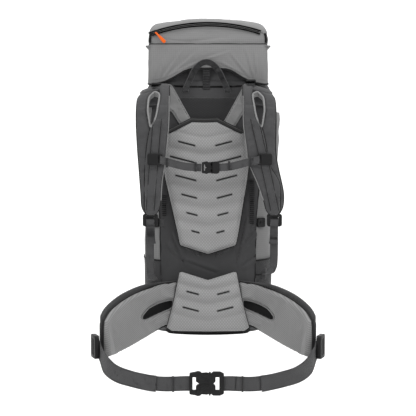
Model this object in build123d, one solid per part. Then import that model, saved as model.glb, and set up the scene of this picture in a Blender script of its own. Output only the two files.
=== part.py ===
from build123d import *
import math
import os

# Hiking backpack. Lengths are millimetres. The harness side faces -Y, +X is to the right as the
# harness is seen, and +Z is up. Heights in this file are measured from the bottom of the bag. The
# finished model is moved so that its origin is the point where the haul loop hangs on a hook.

# ---------------------------------------------------------------- fabric and webbing
WALL = 2.5                 # coated fabric with its lining
WEBBING = 1.6              # thickness of the narrow webbing
BELT_WEBBING = 2.0         # thickness of the hip belt webbing
FIT = 0.5                  # play of a sliding fit, on each side
GAP = 0.3                  # air between pieces that pass each other

# ---------------------------------------------------------------- bag
FLOOR_WIDTH, FLOOR_BACK, FLOOR_FRONT = 272.0, 8.0, 232.0
LOW_Z, LOW_WIDTH, LOW_FRONT = 42.0, 300.0, 254.0
BELLY_Z, BELLY_WIDTH, BELLY_FRONT = 300.0, 310.0, 268.0
CHEST_Z, CHEST_WIDTH, CHEST_FRONT = 530.0, 354.0, 274.0
HEM_Z, HEM_WIDTH, HEM_FRONT = 636.0, 338.0, 262.0
BAG_CORNER = 60.0
BACK_SEAM_Y = 7.0          # seam between the back panel and the side panels
FRONT_SEAM_Y = 205.0       # seam between the side panels and the front panel

COLLAR_HEIGHT = 66.0       # snow collar above the hem
COLLAR_BACK, COLLAR_FRONT = 8.0, 250.0
COLLAR_ROOM = 4.5          # air between the collar and the lid skirt
CORD_DIAMETER = 4.0        # drawcord of the collar
LOCK_SIZE = 18.0           # cord lock
LOCK_BORE = 9.0
BUTTON_TRAVEL = 4.0
BUTTON_HEIGHT = 14.0

SHEET_MARGIN, SHEET_THICK = 3.0, 1.5       # margin to the round corners of the back panel
SHEET_LOW, SHEET_HIGH = 60.0, 605.0
STAY_WIDTH, STAY_THICK, STAY_X = 20.0, 3.0, 60.0
STAY_LOW, STAY_HIGH = 70.0, 595.0

POCKET_BULGE = 13.0
POCKET_BACK, POCKET_FRONT = 48.0, 196.0
POCKET_LOW, POCKET_HIGH = 8.0, 190.0

COMPRESSION_HEIGHTS = (282.0, 520.0)
COMPRESSION_WIDTH = 20.0
COMPRESSION_BACK, COMPRESSION_FRONT = 14.0, 222.0
COMPRESSION_LOCK = (26.0, 24.0, 6.0)      # along the strap, across it, thick
COMPRESSION_LOCK_START = 36.0

# ---------------------------------------------------------------- lid
LID_WIDTH = 314.0
LID_BACK, LID_FRONT = -14.0, 294.0
LID_SEAM_Z = 729.0         # hinge line, along the rear seam
LID_CORNER_BACK, LID_CORNER_FRONT = 8.0, 70.0
LID_CORNER_IN = 20.0       # from the lid's side to the top corner of its cross-section
LID_RISE = ((-14.0, 754.0, 776.0, 790.0), (20.0, 764.0, 794.0, 808.0), (140.0, 770.0, 804.0, 820.0),
            (230.0, 762.0, 794.0, 808.0), (294.0, 742.0, 758.0, 766.0))   # (y, side, corner, crown)
LID_HEM_Z = 641.0
FLAP_END_Y = 18.0          # the static rear flap wraps forward to here
FLAP_SKIRT_GAP = 2.0
FLAP_TIP_X, FLAP_TIP_Z = 142.0, 631.0
FLAP_SHOULDER_X, FLAP_SHOULDER_Z = 118.0, 637.0
FLAP_ARCH_X, FLAP_ARCH_Z = 46.0, 671.0
FLAP_SHELF_Z = 696.0

ZIP_RADIUS, ZIP_CROWN_Z = 433.0, 781.0    # arc of the lid zip, in the rear face
ZIP_TAPE_WIDTH, ZIP_TAPE_THICK = 16.0, 1.2
ZIP_HALF_ANGLE = 19.3
SLIDER_ANGLE = 17.5        # where the closed slider stops, left of the middle
SLIDER_SIZE = (11.0, 15.0, 4.5)           # along the zip, across it, thick
PULL_LENGTH, PULL_WIDTH, PULL_THICK = 33.0, 7.0, 2.4
PULL_TILT = 42.0           # degrees that the pull hangs off the vertical

LID_STRAP_X, LID_STRAP_WIDTH = 76.0, 20.0
LID_BUCKLE_Y, LID_BUCKLE_Z = 311.0, 690.0
LID_STRAP_TOP_Z = 748.0
LID_STRAP_AIR = 1.5        # between the lower straps and the hem of the lid
LID_BUCKLE_WIDTH, LID_BUCKLE_THICK = 30.0, 9.0
LID_FEMALE_LENGTH, LID_MALE_LENGTH, LID_PRONG_LENGTH = 24.0, 14.0, 16.0

FRONT_ZIP_Z, FRONT_ZIP_LENGTH = 205.0, 190.0
FRONT_SLIDER_X = -70.0

# ---------------------------------------------------------------- back
BACK_PAD_OUTLINE = ((0.0, 544.0), (33.0, 544.0), (89.0, 519.0), (107.0, 440.0), (104.0, 396.0),
                    (71.0, 226.0), (0.0, 203.0))
BACK_PAD_FRONT, BACK_PAD_BACK = -28.0, -4.0
BACK_PAD_RIB = (116.0, 250.0, 390.0)      # width, low and high end of the sewn middle
LUMBAR_OUTLINE = ((0.0, 141.0), (71.0, 161.0), (105.0, 15.0), (92.0, 5.0), (0.0, 2.0))
LUMBAR_FRONT = -51.0
LUMBAR_RIB = (148.0, 24.0, 136.0)

YOKE_BACK, YOKE_THICK = -0.8, 2.4
YOKE_OUTLINE = ((0.0, 442.0), (50.0, 442.0), (50.0, 515.0), (71.0, 537.0), (90.0, 571.0),
                (150.0, 575.0), (150.0, 622.0), (85.0, 628.0), (34.0, 545.0), (0.0, 545.0))

HANG_TAPE_WIDTH, HANG_TAPE_LOW, HANG_TAPE_HIGH = 18.0, 618.0, 672.0
LOOP_REACH = 52.0          # from the middle to each foot
LOOP_FOOT_Z, LOOP_TOP_Z = 612.0, 691.0
LOOP_BAND, LOOP_FRONT, LOOP_THICK = 17.0, -25.0, 7.0

# ---------------------------------------------------------------- shoulder straps
STRAP_THICK = 14.0
STRAP_Y_FRONT = -82.0      # middle of the strap where it hangs straight
STRAP_INNER_X, STRAP_OUTER_X = 90.0, 172.0
STRAP_TOP_Z, STRAP_FOOT_Z = 625.0, 312.0
STRAP_FOOT_Y = -68.0
FOOT_X = {-1: 143.0, 1: 165.0}            # the right strap hangs a little further out
FOOT_WIDTH = 46.0
EYE_OUTLINE = ((122.0, 604.0), (136.0, 609.0), (148.0, 596.0), (149.0, 565.0), (142.0, 530.0),
               (134.0, 548.0))
RAIL_WIDTH = 20.0
RAIL_TOP_X, RAIL_TOP_Z, RAIL_LOW_Z = 119.0, 545.0, 322.0

ADJUSTER_WIDTH, ADJUSTER_HEIGHT, ADJUSTER_TOP = 38.0, 28.0, 309.0
ADJUSTER_FRONT, ADJUSTER_BACK = -73.0, -52.0
STRAP_WEB_WIDTH, STRAP_WEB_Y = 20.0, -57.0
STRAP_WEB_TOP, STRAP_WEB_BEND_Z, STRAP_WEB_ANCHOR_Z = 306.0, 226.0, 148.0
LIFTER_X, LIFTER_WIDTH = 128.0, 20.0
LIFTER_LOCK = (24.0, 18.0, 6.0)           # across, along, thick

# ---------------------------------------------------------------- sternum strap
STERNUM_Z, STERNUM_CLIP_Z = 427.0, 447.0
STERNUM_TRAVEL = 20.0      # up and down the rails
CLIP_HEIGHT, CLIP_THICK, CLIP_LIP = 26.0, 6.0, 4.0
STERNUM_WEB = 20.0
STERNUM_BUCKLE_X = 7.0
STERNUM_BUCKLE_HEIGHT, STERNUM_BUCKLE_THICK = 28.0, 9.0
STERNUM_FEMALE, STERNUM_MALE, STERNUM_PRONG = 24.0, 18.0, 12.0
STERNUM_RELEASE = 25.0     # travel of the male half along its webbing

# ---------------------------------------------------------------- hip belt
FIN_PAD_THICK, FIN_SHELL_THICK = 20.0, 6.0
FIN_PATH = ((78.0, -20.0), (118.0, -20.0), (158.0, -42.0), (204.0, -88.0), (235.0, -130.0),
            (250.0, -170.0))
FIN_LOW = (30.0, 16.0, -4.0, -22.0, -30.0, -31.0)
FIN_HIGH = (134.0, 128.0, 118.0, 100.0, 80.0, 58.0)
FIN_HINGE_X = 118.0
FIN_SLOT = ((84.0, 85.0), (84.0, 60.0), (119.0, 60.0), (143.0, 50.0), (160.0, 45.0), (168.0, 51.0),
            (165.0, 61.0), (143.0, 74.0), (119.0, 83.0))
BELT_WIDTH = 38.0
BELT_PATH = ((267.5, -186.0, -10.0), (262.0, -202.0, -24.0), (240.0, -240.0, -46.0),
             (200.0, -270.0, -57.0), (150.0, -289.0, -63.0), (100.0, -297.0, -64.0))
BUCKLE_Y, BUCKLE_Z = -300.0, -62.0
BUCKLE_HEIGHT, BUCKLE_THICK, BUCKLE_SHELL = 54.0, 14.0, 2.2
BUCKLE_LEFT, BUCKLE_SPLIT, BUCKLE_RIGHT = -44.0, 12.0, 38.0
PRONG_LENGTH, PRONG_BASE = 34.0, 12.0
BELT_LOCK = (9.0, 34.0, 54.0)             # thick, long, high
BELT_LOCK_LAP, BELT_LOCK_SEAT, BELT_LOCK_BAR = 10.0, 4.0, 7.0


# ---------------------------------------------------------------- helpers
def block(x0, x1, y0, y1, z0, z1):
    """Box between two corners."""
    middle = Pos((x0 + x1) / 2, (y0 + y1) / 2, (z0 + z1) / 2)
    return middle * Box(x1 - x0, y1 - y0, z1 - z0)


def side_block(side, x0, x1, y0, y1, z0, z1):
    """Box whose X range is mirrored on the left side (side = -1)."""
    low, high = sorted((side * x0, side * x1))
    return block(low, high, y0, y1, z0, z1)


def outline_xz(points, back, front):
    """Outline in X and Z, extruded from y = back to y = front."""
    face = Plane.XZ * make_face(Polyline(*points, close=True))
    return Pos(0, max(back, front), 0) * extrude(face, amount=abs(front - back))


def profile_yz(points, half_width):
    """Outline in Y and Z, extruded to both sides of x = 0."""
    face = Plane.YZ * make_face(Polyline(*points, close=True))
    return extrude(face, amount=half_width, both=True)


def mirrored(points, side):
    """The same outline on the other side."""
    return [(side * x, z) for x, z in points]


def both_halves(points):
    """Closed symmetric outline from its right half, listed from the middle to the middle."""
    left = [(-x, z) for x, z in reversed(points) if x > 0]
    return list(points) + left


def beside(points, distance):
    """Points at a distance to the left of a line of points, mitred at each corner."""
    moved = []
    for index, point in enumerate(points):
        before = Vector(*points[max(index - 1, 0)])
        after = Vector(*points[min(index + 1, len(points) - 1)])
        here = Vector(*point)
        arms = [arm.normalized() for arm in (here - before, after - here) if arm.length > 0]
        along = sum(arms, Vector(0, 0)).normalized()
        stretch = 1.0 / along.dot(arms[0])
        moved.append((point[0] - along.Y * distance * stretch,
                      point[1] + along.X * distance * stretch))
    return moved


def webbing(points, width, thickness, across):
    """Flat strap through the points, with its width along the vector across."""
    sections = []
    for index, point in enumerate(points):
        before = Vector(*points[max(index - 1, 0)])
        after = Vector(*points[min(index + 1, len(points) - 1)])
        along = (after - before).normalized()
        wide = Vector(*across)
        wide = wide - along * wide.dot(along)
        sections.append(Plane(origin=point, x_dir=wide, z_dir=along) * Rectangle(width, thickness))
    return loft(sections, ruled=True)


# ---------------------------------------------------------------- bag
def bag_solid(inset=0.0):
    """Outer form of the bag, or the form a distance inside or outside it."""
    rows = ((max(inset, 0.0), FLOOR_WIDTH, FLOOR_BACK, FLOOR_FRONT),
            (LOW_Z, LOW_WIDTH, 0.0, LOW_FRONT),
            (BELLY_Z, BELLY_WIDTH, 0.0, BELLY_FRONT),
            (CHEST_Z, CHEST_WIDTH, 0.0, CHEST_FRONT),
            (HEM_Z, HEM_WIDTH, 0.0, HEM_FRONT))
    sections = []
    for height, width, back, front in rows:
        plan = RectangleRounded(width - 2 * inset, front - back - 2 * inset, BAG_CORNER - inset)
        sections.append(Pos(0, (back + front) / 2, height) * plan)
    return loft(sections, ruled=True)


BAG = bag_solid()
BIG = 1000.0


def bag_panels():
    """The sewn panels of the bag, cut from one shell along the seams."""
    shell = BAG - bag_solid(WALL)
    upper = shell & block(-BIG, BIG, -BIG, BIG, LOW_Z, BIG)
    return {
        "bottom_panel": shell & block(-BIG, BIG, -BIG, BIG, -BIG, LOW_Z),
        "back_panel": upper & block(-BIG, BIG, -BIG, BACK_SEAM_Y, 0, BIG),
        "front_panel": upper & block(-BIG, BIG, FRONT_SEAM_Y, BIG, 0, BIG),
        "left_side_panel": upper & block(-BIG, 0, BACK_SEAM_Y, FRONT_SEAM_Y, 0, BIG),
        "right_side_panel": upper & block(0, BIG, BACK_SEAM_Y, FRONT_SEAM_Y, 0, BIG),
    }


def collar_plan(inset, corner):
    width = LID_WIDTH - 2 * (WALL + COLLAR_ROOM + inset)
    depth = COLLAR_FRONT - COLLAR_BACK - 2 * inset
    return Pos(0, (COLLAR_BACK + COLLAR_FRONT) / 2) * RectangleRounded(width, depth, corner)


def collar():
    """Snow collar with the ledge that joins it to the hem."""
    ledge = Pos(0, HEM_FRONT / 2, HEM_Z) * extrude(
        RectangleRounded(HEM_WIDTH, HEM_FRONT, BAG_CORNER), amount=WALL)
    tube = Pos(0, 0, HEM_Z) * extrude(collar_plan(0, BAG_CORNER - 8), amount=COLLAR_HEIGHT)
    hollow = Pos(0, 0, HEM_Z) * extrude(collar_plan(WALL, BAG_CORNER - 8 - WALL), amount=BIG)
    return ledge + tube - hollow


def collar_drawcord():
    """Cord that lies on top of the collar's rim."""
    path = collar_plan(WALL / 2, BAG_CORNER - 10).face().outer_wire()
    path = Pos(0, 0, HEM_Z + COLLAR_HEIGHT + CORD_DIAMETER / 2) * path
    start = Plane(origin=path @ 0, z_dir=path % 0)
    return sweep(start * Circle(CORD_DIAMETER / 2), path=path)


def cord_lock_place():
    """Middle of the cord lock, hung on the collar's front."""
    return COLLAR_FRONT + LOCK_SIZE / 2, HEM_Z + COLLAR_HEIGHT - 22.0


def cord_lock():
    """Barrel of the cord lock, its spring and its button."""
    y, z = cord_lock_place()
    barrel = Pos(0, y, z) * Cylinder(LOCK_SIZE / 2, LOCK_SIZE)
    seat = Pos(0, y, z + WALL / 2) * Cylinder(LOCK_BORE / 2 + FIT, LOCK_SIZE - WALL)
    barrel = barrel - seat
    button_low = z + LOCK_SIZE / 2 - BUTTON_HEIGHT / 2
    button = Pos(0, y, button_low + BUTTON_HEIGHT / 2) * Cylinder(LOCK_BORE / 2, BUTTON_HEIGHT)
    spring_low = z - LOCK_SIZE / 2 + WALL
    spring_length = button_low - spring_low
    spring = Pos(0, y, spring_low + spring_length / 2) * (
        Cylinder(LOCK_BORE / 2 - 0.5, spring_length) - Cylinder(LOCK_BORE / 2 - 1.7, spring_length))
    return {"cord_lock_barrel": barrel, "cord_lock_spring": spring, "cord_lock_button": button}


def frame():
    """Plastic frame sheet and two aluminium stays inside the back panel."""
    half = LOW_WIDTH / 2 - BAG_CORNER - SHEET_MARGIN
    sheet = block(-half, half, WALL, WALL + SHEET_THICK, SHEET_LOW, SHEET_HIGH)
    back = WALL + SHEET_THICK
    stays = [block(x - STAY_WIDTH / 2, x + STAY_WIDTH / 2, back, back + STAY_THICK, STAY_LOW, STAY_HIGH)
             for x in (-STAY_X, STAY_X)]
    return {"frame_sheet": sheet, "frame_stays": Compound(children=stays)}


def side_pocket(side):
    """Stretch pocket on a side panel, open at its top."""
    room = side_block(side, 60, BIG, POCKET_BACK, POCKET_FRONT, POCKET_LOW, POCKET_HIGH)
    hollow = side_block(side, 60, BIG, POCKET_BACK + WALL, POCKET_FRONT - WALL,
                        POCKET_LOW + WALL, POCKET_HIGH)
    pocket = (bag_solid(-POCKET_BULGE) & room) - BAG
    return pocket - (bag_solid(WALL - POCKET_BULGE) & hollow)


def compression_straps():
    """Webbing round each side and the ladder locks that tighten it."""
    band = bag_solid(-WEBBING) - BAG
    lock_shell = bag_solid(-WEBBING - COMPRESSION_LOCK[2]) - bag_solid(-WEBBING)
    straps, locks = [], []
    for side in (-1, 1):
        for height in COMPRESSION_HEIGHTS:
            half = COMPRESSION_WIDTH / 2
            straps.append(band & side_block(side, 100, BIG, COMPRESSION_BACK, COMPRESSION_FRONT,
                                            height - half, height + half))
            half = COMPRESSION_LOCK[1] / 2
            start = COMPRESSION_LOCK_START
            locks.append(lock_shell & side_block(side, 100, BIG, start, start + COMPRESSION_LOCK[0],
                                                 height - half, height + half))
    return {"compression_straps": Compound(children=straps),
            "compression_locks": Compound(children=locks)}


# ---------------------------------------------------------------- lid
def lid_plan(width, back, front):
    """Plan of the lid: nearly square rear corners and round front corners."""
    half = width / 2
    corners = [(-half, back), (half, back), (half, front), (-half, front)]
    radii = [LID_CORNER_BACK, LID_CORNER_BACK, LID_CORNER_FRONT, LID_CORNER_FRONT]
    return make_face(FilletPolyline(*corners, radius=radii, close=True))


def lid_solid(inset, low):
    """Domed form of the lid above a level, or the form inside its fabric."""
    half = LID_WIDTH / 2 - inset
    sections = []
    for y, side, corner, crown in LID_RISE:
        turn = (half - LID_CORNER_IN, corner - inset)
        base = Polyline(turn, (half, side - inset), (half, low), (-half, low), (-half, side - inset),
                        (-turn[0], turn[1]))
        top = ThreePointArc((-turn[0], turn[1]), (0, crown - inset), turn)
        sections.append(Pos(0, y, 0) * (Plane.XZ * make_face([base, top])))
    form = loft(sections, ruled=True)
    plan = lid_plan(LID_WIDTH - 2 * inset, LID_BACK + inset, LID_FRONT - inset)
    return form & (Pos(0, 0, low) * extrude(plan, amount=BIG))


def skirt_ring():
    """Band of fabric that hangs from the edge of the lid all the way round."""
    high = LID_SEAM_Z - WALL
    rings = []
    for inset in (0.0, WALL):
        top = lid_plan(LID_WIDTH - 2 * inset, LID_BACK + inset, LID_FRONT - inset)
        hem = lid_plan(HEM_WIDTH - 4 - 2 * inset, LID_BACK + inset, LID_FRONT + 2 - inset)
        rings.append(loft([Pos(0, 0, LID_HEM_Z) * hem, Pos(0, 0, high) * top], ruled=True))
    return rings[0] - rings[1]


def lid_pieces():
    """Lid pocket, its floor, the moving skirt and the static rear flap."""
    floor_low = LID_SEAM_Z - WALL
    solid = lid_solid(0.0, floor_low)
    above = block(-BIG, BIG, -BIG, BIG, LID_SEAM_Z, BIG)
    ring = skirt_ring()
    arch = [(-FLAP_TIP_X - 60, FLAP_TIP_Z), (-FLAP_SHOULDER_X, FLAP_SHOULDER_Z),
            (-FLAP_ARCH_X, FLAP_ARCH_Z), (FLAP_ARCH_X, FLAP_ARCH_Z),
            (FLAP_SHOULDER_X, FLAP_SHOULDER_Z), (FLAP_TIP_X + 60, FLAP_TIP_Z),
            (FLAP_TIP_X + 60, 500.0), (-FLAP_TIP_X - 60, 500.0)]
    flap = (ring & block(-BIG, BIG, -BIG, FLAP_END_Y, 0, floor_low - 1.0)) - outline_xz(arch, -60, 60)
    shelf = block(-FLAP_TIP_X + 20, FLAP_TIP_X - 20, LID_BACK + WALL, COLLAR_BACK,
                  FLAP_SHELF_Z, FLAP_SHELF_Z + WALL)
    return {
        "lid_top": (solid - lid_solid(WALL, floor_low)) & above,
        "lid_floor": solid - above,
        "lid_skirt": ring & block(-BIG, BIG, FLAP_END_Y + FLAP_SKIRT_GAP, BIG, 0, BIG),
        "lid_rear_flap": flap + shelf,
    }


def on_zip_arc(shape, angle):
    """Turn a shape made at the crown of the zip to an angle along the arc."""
    centre_z = ZIP_CROWN_Z - ZIP_RADIUS
    return Pos(0, 0, centre_z) * Rot(0, angle, 0) * Pos(0, 0, -centre_z) * shape


def lid_zip():
    """Curved zip of the lid pocket: tape, slider and cord pull."""
    centre_z = ZIP_CROWN_Z - ZIP_RADIUS
    outer = ZIP_RADIUS + ZIP_TAPE_WIDTH / 2
    inner = ZIP_RADIUS - ZIP_TAPE_WIDTH / 2
    ring = Pos(0, LID_BACK - ZIP_TAPE_THICK / 2, centre_z) * Rot(90, 0, 0) * (
        Cylinder(outer, ZIP_TAPE_THICK) - Cylinder(inner, ZIP_TAPE_THICK))
    reach = math.tan(math.radians(ZIP_HALF_ANGLE)) * BIG
    wedge = outline_xz([(0, centre_z), (-reach, centre_z + BIG), (reach, centre_z + BIG)], -60, 60)
    length, width, thick = SLIDER_SIZE
    face = LID_BACK - ZIP_TAPE_THICK - GAP
    slider = block(-length / 2, length / 2, face - thick, face,
                   ZIP_CROWN_Z - width / 2, ZIP_CROWN_Z + width / 2)
    pull_back = face - thick - GAP
    turn = math.radians(SLIDER_ANGLE)
    pivot_x = -ZIP_RADIUS * math.sin(turn)
    pivot_z = centre_z + ZIP_RADIUS * math.cos(turn)
    tab = block(-PULL_WIDTH / 2, PULL_WIDTH / 2, pull_back - PULL_THICK, pull_back, -PULL_LENGTH, 0.0)
    pull = Pos(pivot_x, 0, pivot_z) * Rot(0, -PULL_TILT, 0) * tab
    return {"lid_zip_tape": ring & wedge, "lid_zip_slider": on_zip_arc(slider, -SLIDER_ANGLE),
            "lid_zip_pull": pull}


def lid_strap_frame():
    """Middle of the lid buckles and the direction of the straps, square to the hinge radius."""
    radius = Vector(0, LID_BUCKLE_Y - LID_BACK, LID_BUCKLE_Z - LID_SEAM_Z).normalized()
    along = Vector(0, -radius.Z, radius.Y)
    return Vector(0, LID_BUCKLE_Y, LID_BUCKLE_Z), along


def buckle_halves(female, male, prong, height, thick):
    """Side-release buckle along +X with the split at x = 0: the socket and the pronged half."""
    shell = WALL - 0.7
    socket = block(-female, 0, -thick / 2, thick / 2, -height / 2, height / 2)
    pocket = block(-prong - FIT, 0, -thick / 2 + shell, thick / 2 - shell,
                   -height / 2 + shell, height / 2 - shell)
    inside = shell + FIT
    plug = block(GAP, male, -thick / 2, thick / 2, -height / 2, height / 2)
    for side in (-1, 1):
        low, high = sorted((side * (height / 2 - inside), side * (height / 2 - inside - 5)))
        plug = plug + block(-prong, GAP, -thick / 2 + inside, thick / 2 - inside, low, high)
    return socket - pocket, plug


def lid_straps():
    """Two straps that hold the lid down, each with its buckle."""
    middle, along = lid_strap_frame()
    socket, plug = buckle_halves(LID_FEMALE_LENGTH, LID_MALE_LENGTH, LID_PRONG_LENGTH,
                                 LID_BUCKLE_WIDTH, LID_BUCKLE_THICK)
    upper, lower, sockets, plugs = [], [], [], []
    lid_form = lid_solid(0.0, LID_SEAM_Z - WALL)
    for x in (-LID_STRAP_X, LID_STRAP_X):
        place = Plane(origin=middle + Vector(x, 0, 0), x_dir=-along, z_dir=(1, 0, 0))
        sockets.append(place.location * socket)
        plugs.append(place.location * plug)
        high = middle + along * LID_FEMALE_LENGTH + Vector(x, 0, 0)
        end = Vector(x, LID_FRONT - 12, LID_STRAP_TOP_Z)
        strap = webbing([tuple(high), tuple(end)], LID_STRAP_WIDTH, WEBBING, (1, 0, 0))
        upper.append(strap - lid_form - sockets[-1])
        low = middle - along * LID_MALE_LENGTH + Vector(x, 0, 0)
        over_hem = Vector(x, LID_FRONT + WEBBING / 2 + LID_STRAP_AIR, LID_HEM_Z - 2)
        bend = Vector(x, CHEST_FRONT + WEBBING / 2 - 4, HEM_Z - 40)
        drop = webbing([tuple(low), tuple(over_hem), tuple(bend)], LID_STRAP_WIDTH, WEBBING, (1, 0, 0))
        band = bag_solid(-WEBBING) - BAG
        half = LID_STRAP_WIDTH / 2
        run = band & block(x - half, x + half, 100, BIG, FRONT_ZIP_Z + 30, HEM_Z - 36)
        lower.append(run)
        lower.append(drop - bag_solid(-WEBBING) - plugs[-1])
    return {"lid_straps": Compound(children=upper), "lid_buckle_sockets": Compound(children=sockets),
            "front_straps": Compound(children=lower), "lid_buckle_plugs": Compound(children=plugs)}


def front_zip():
    """Straight zip of the bottom compartment on the front panel."""
    half = ZIP_TAPE_WIDTH / 2
    tape = (bag_solid(-ZIP_TAPE_THICK) - BAG) & block(
        -FRONT_ZIP_LENGTH / 2, FRONT_ZIP_LENGTH / 2, 100, BIG, FRONT_ZIP_Z - half, FRONT_ZIP_Z + half)
    length, width, thick = SLIDER_SIZE
    face = tape.bounding_box().max.Y + GAP
    slider = block(FRONT_SLIDER_X - length / 2, FRONT_SLIDER_X + length / 2, face, face + thick,
                   FRONT_ZIP_Z - width / 2, FRONT_ZIP_Z + width / 2)
    pull_face = face + thick + GAP
    pull = block(FRONT_SLIDER_X - PULL_WIDTH / 2, FRONT_SLIDER_X + PULL_WIDTH / 2,
                 pull_face, pull_face + PULL_THICK, FRONT_ZIP_Z - PULL_LENGTH, FRONT_ZIP_Z)
    return {"front_zip_tape": tape, "front_zip_slider": slider, "front_zip_pull": pull}


# ---------------------------------------------------------------- back and harness
def back_pads():
    """Back pad and lumbar pad, each with the sewn middle that joins it to the back panel."""
    width, low, high = BACK_PAD_RIB
    back_pad = outline_xz(both_halves(BACK_PAD_OUTLINE), BACK_PAD_BACK, BACK_PAD_FRONT)
    back_pad = back_pad + block(-width / 2, width / 2, BACK_PAD_BACK, 0, low, high)
    width, low, high = LUMBAR_RIB
    fin_front = FIN_PATH[0][1] - (FIN_PAD_THICK + FIN_SHELL_THICK) / 2
    lumbar = outline_xz(both_halves(LUMBAR_OUTLINE), fin_front, LUMBAR_FRONT)
    lumbar = lumbar + block(-width / 2, width / 2, fin_front, 0, low, high)
    return {"back_pad": back_pad, "lumbar_pad": lumbar}


def yoke():
    """Y-shaped plate that slides behind the back pad and carries the shoulder straps."""
    return outline_xz(both_halves(YOKE_OUTLINE), YOKE_BACK, YOKE_BACK - YOKE_THICK)


def strap_line():
    """Side view of the strap's middle, from the yoke over the shoulder to the foot."""
    rear = YOKE_BACK - YOKE_THICK - STRAP_THICK / 2
    return [(rear, STRAP_TOP_Z - 48), (rear, STRAP_TOP_Z - 20), (rear - 10, STRAP_TOP_Z - 5),
            (rear - 30, STRAP_TOP_Z), (STRAP_Y_FRONT + 20, STRAP_TOP_Z - 14),
            (STRAP_Y_FRONT + 5, STRAP_TOP_Z - 45), (STRAP_Y_FRONT, STRAP_TOP_Z - 80),
            (STRAP_Y_FRONT, STRAP_FOOT_Z + 78), (STRAP_Y_FRONT + 6, STRAP_FOOT_Z + 38),
            (STRAP_FOOT_Y, STRAP_FOOT_Z)]


def strap_slab(inner, outer):
    """Curved slab that follows the strap between two distances in front of its middle line."""
    line = strap_line()
    return profile_yz(beside(line, -inner) + beside(line, -outer)[::-1], 260)


def strap_outline(side):
    """Front view of a shoulder strap."""
    foot = FOOT_X[side]
    return mirrored([(STRAP_INNER_X, 640.0), (STRAP_INNER_X, 522.0), (STRAP_INNER_X + 14, 437.0),
                     (foot - FOOT_WIDTH / 2, STRAP_FOOT_Z + 14), (foot - 12, 305.0),
                     (foot + 12, 305.0), (foot + FOOT_WIDTH / 2, STRAP_FOOT_Z + 18),
                     (STRAP_OUTER_X - 4, 430.0), (STRAP_OUTER_X, 590.0),
                     (STRAP_OUTER_X - 12, 640.0)], side)


def shoulder_strap(side):
    """Padded shoulder strap with the eye below its top."""
    body = strap_slab(-STRAP_THICK / 2, STRAP_THICK / 2) & outline_xz(strap_outline(side), 60, -160)
    return body - outline_xz(mirrored(EYE_OUTLINE, side), 60, -160)


def rail_slant(side):
    """How far out the rail runs for each unit that it goes down."""
    return (FOOT_X[side] - RAIL_TOP_X) / (RAIL_TOP_Z - RAIL_LOW_Z)


def strap_rail(side):
    """Webbing sewn down the front of a strap, which the sternum slider runs on."""
    half = RAIL_WIDTH / 2
    foot = FOOT_X[side]
    outline = mirrored([(RAIL_TOP_X - half, RAIL_TOP_Z), (RAIL_TOP_X + half, RAIL_TOP_Z),
                        (foot + half, RAIL_LOW_Z), (foot - half, RAIL_LOW_Z)], side)
    slab = strap_slab(STRAP_THICK / 2, STRAP_THICK / 2 + WEBBING)
    return slab & outline_xz(outline, 0, -160)


def strap_adjuster(side):
    """Ladder lock at the foot of a strap, with the slot that its webbing runs in."""
    x = side * FOOT_X[side]
    half = ADJUSTER_WIDTH / 2
    top = ADJUSTER_TOP
    body = block(x - half, x + half, ADJUSTER_FRONT, ADJUSTER_BACK, top - ADJUSTER_HEIGHT, top)
    web = STRAP_WEB_WIDTH / 2 + FIT
    slot = block(x - web, x + web, STRAP_WEB_Y - WEBBING / 2 - FIT, STRAP_WEB_Y + WEBBING / 2 + FIT,
                 0, BIG)
    hollow = block(x - half + 4, x + half - 4, ADJUSTER_FRONT + 5, STRAP_WEB_Y - WEBBING / 2 - 2,
                   top - ADJUSTER_HEIGHT + 5, top - 5)
    return body - slot - hollow - shoulder_strap(side)


def strap_webbing(side):
    """Webbing from the ladder lock down to its anchor at the foot of the bag."""
    x = side * FOOT_X[side]
    anchor_x = side * 140.0
    points = [(x, STRAP_WEB_Y, STRAP_WEB_TOP), (x, STRAP_WEB_Y, STRAP_WEB_BEND_Z),
              (anchor_x, 20.0, STRAP_WEB_ANCHOR_Z)]
    return webbing(points, STRAP_WEB_WIDTH, WEBBING, (1, 0, 0)) - BAG


def load_lifter(side):
    """Webbing over the top of a strap and the ladder lock that it runs through."""
    x = side * LIFTER_X
    half = LIFTER_WIDTH / 2
    top = STRAP_TOP_Z + STRAP_THICK / 2
    slab = strap_slab(STRAP_THICK / 2, STRAP_THICK / 2 + WEBBING)
    web = slab & block(x - half, x + half, -62, LID_BACK - 2, top - 30, BIG)
    across, along, thick = LIFTER_LOCK
    cover = strap_slab(STRAP_THICK / 2 + WEBBING, STRAP_THICK / 2 + WEBBING + thick)
    lock = cover & block(x - across / 2, x + across / 2, -44 - along, -44, top - 30, BIG)
    return web, lock


# ---------------------------------------------------------------- sternum strap
def clip_x(side):
    """Middle of the rail at the height of the slider."""
    return side * (RAIL_TOP_X + rail_slant(side) * (RAIL_TOP_Z - STERNUM_CLIP_Z))


def sternum_clip(side):
    """Slider that straddles the rail, with room for the rail's slant over its travel."""
    x = clip_x(side)
    face = STRAP_Y_FRONT - STRAP_THICK / 2
    rail_front = face - WEBBING - GAP
    front = rail_front - CLIP_THICK
    room = RAIL_WIDTH / 2 + rail_slant(side) * (CLIP_HEIGHT / 2 + STERNUM_TRAVEL) + FIT
    half = room + CLIP_LIP
    body = block(x - half, x + half, front, face - GAP,
                 STERNUM_CLIP_Z - CLIP_HEIGHT / 2, STERNUM_CLIP_Z + CLIP_HEIGHT / 2)
    channel = block(x - room, x + room, rail_front, 0, 0, BIG)
    return body - channel


def sternum_front():
    return STRAP_Y_FRONT - STRAP_THICK / 2 - WEBBING - GAP - CLIP_THICK


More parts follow.
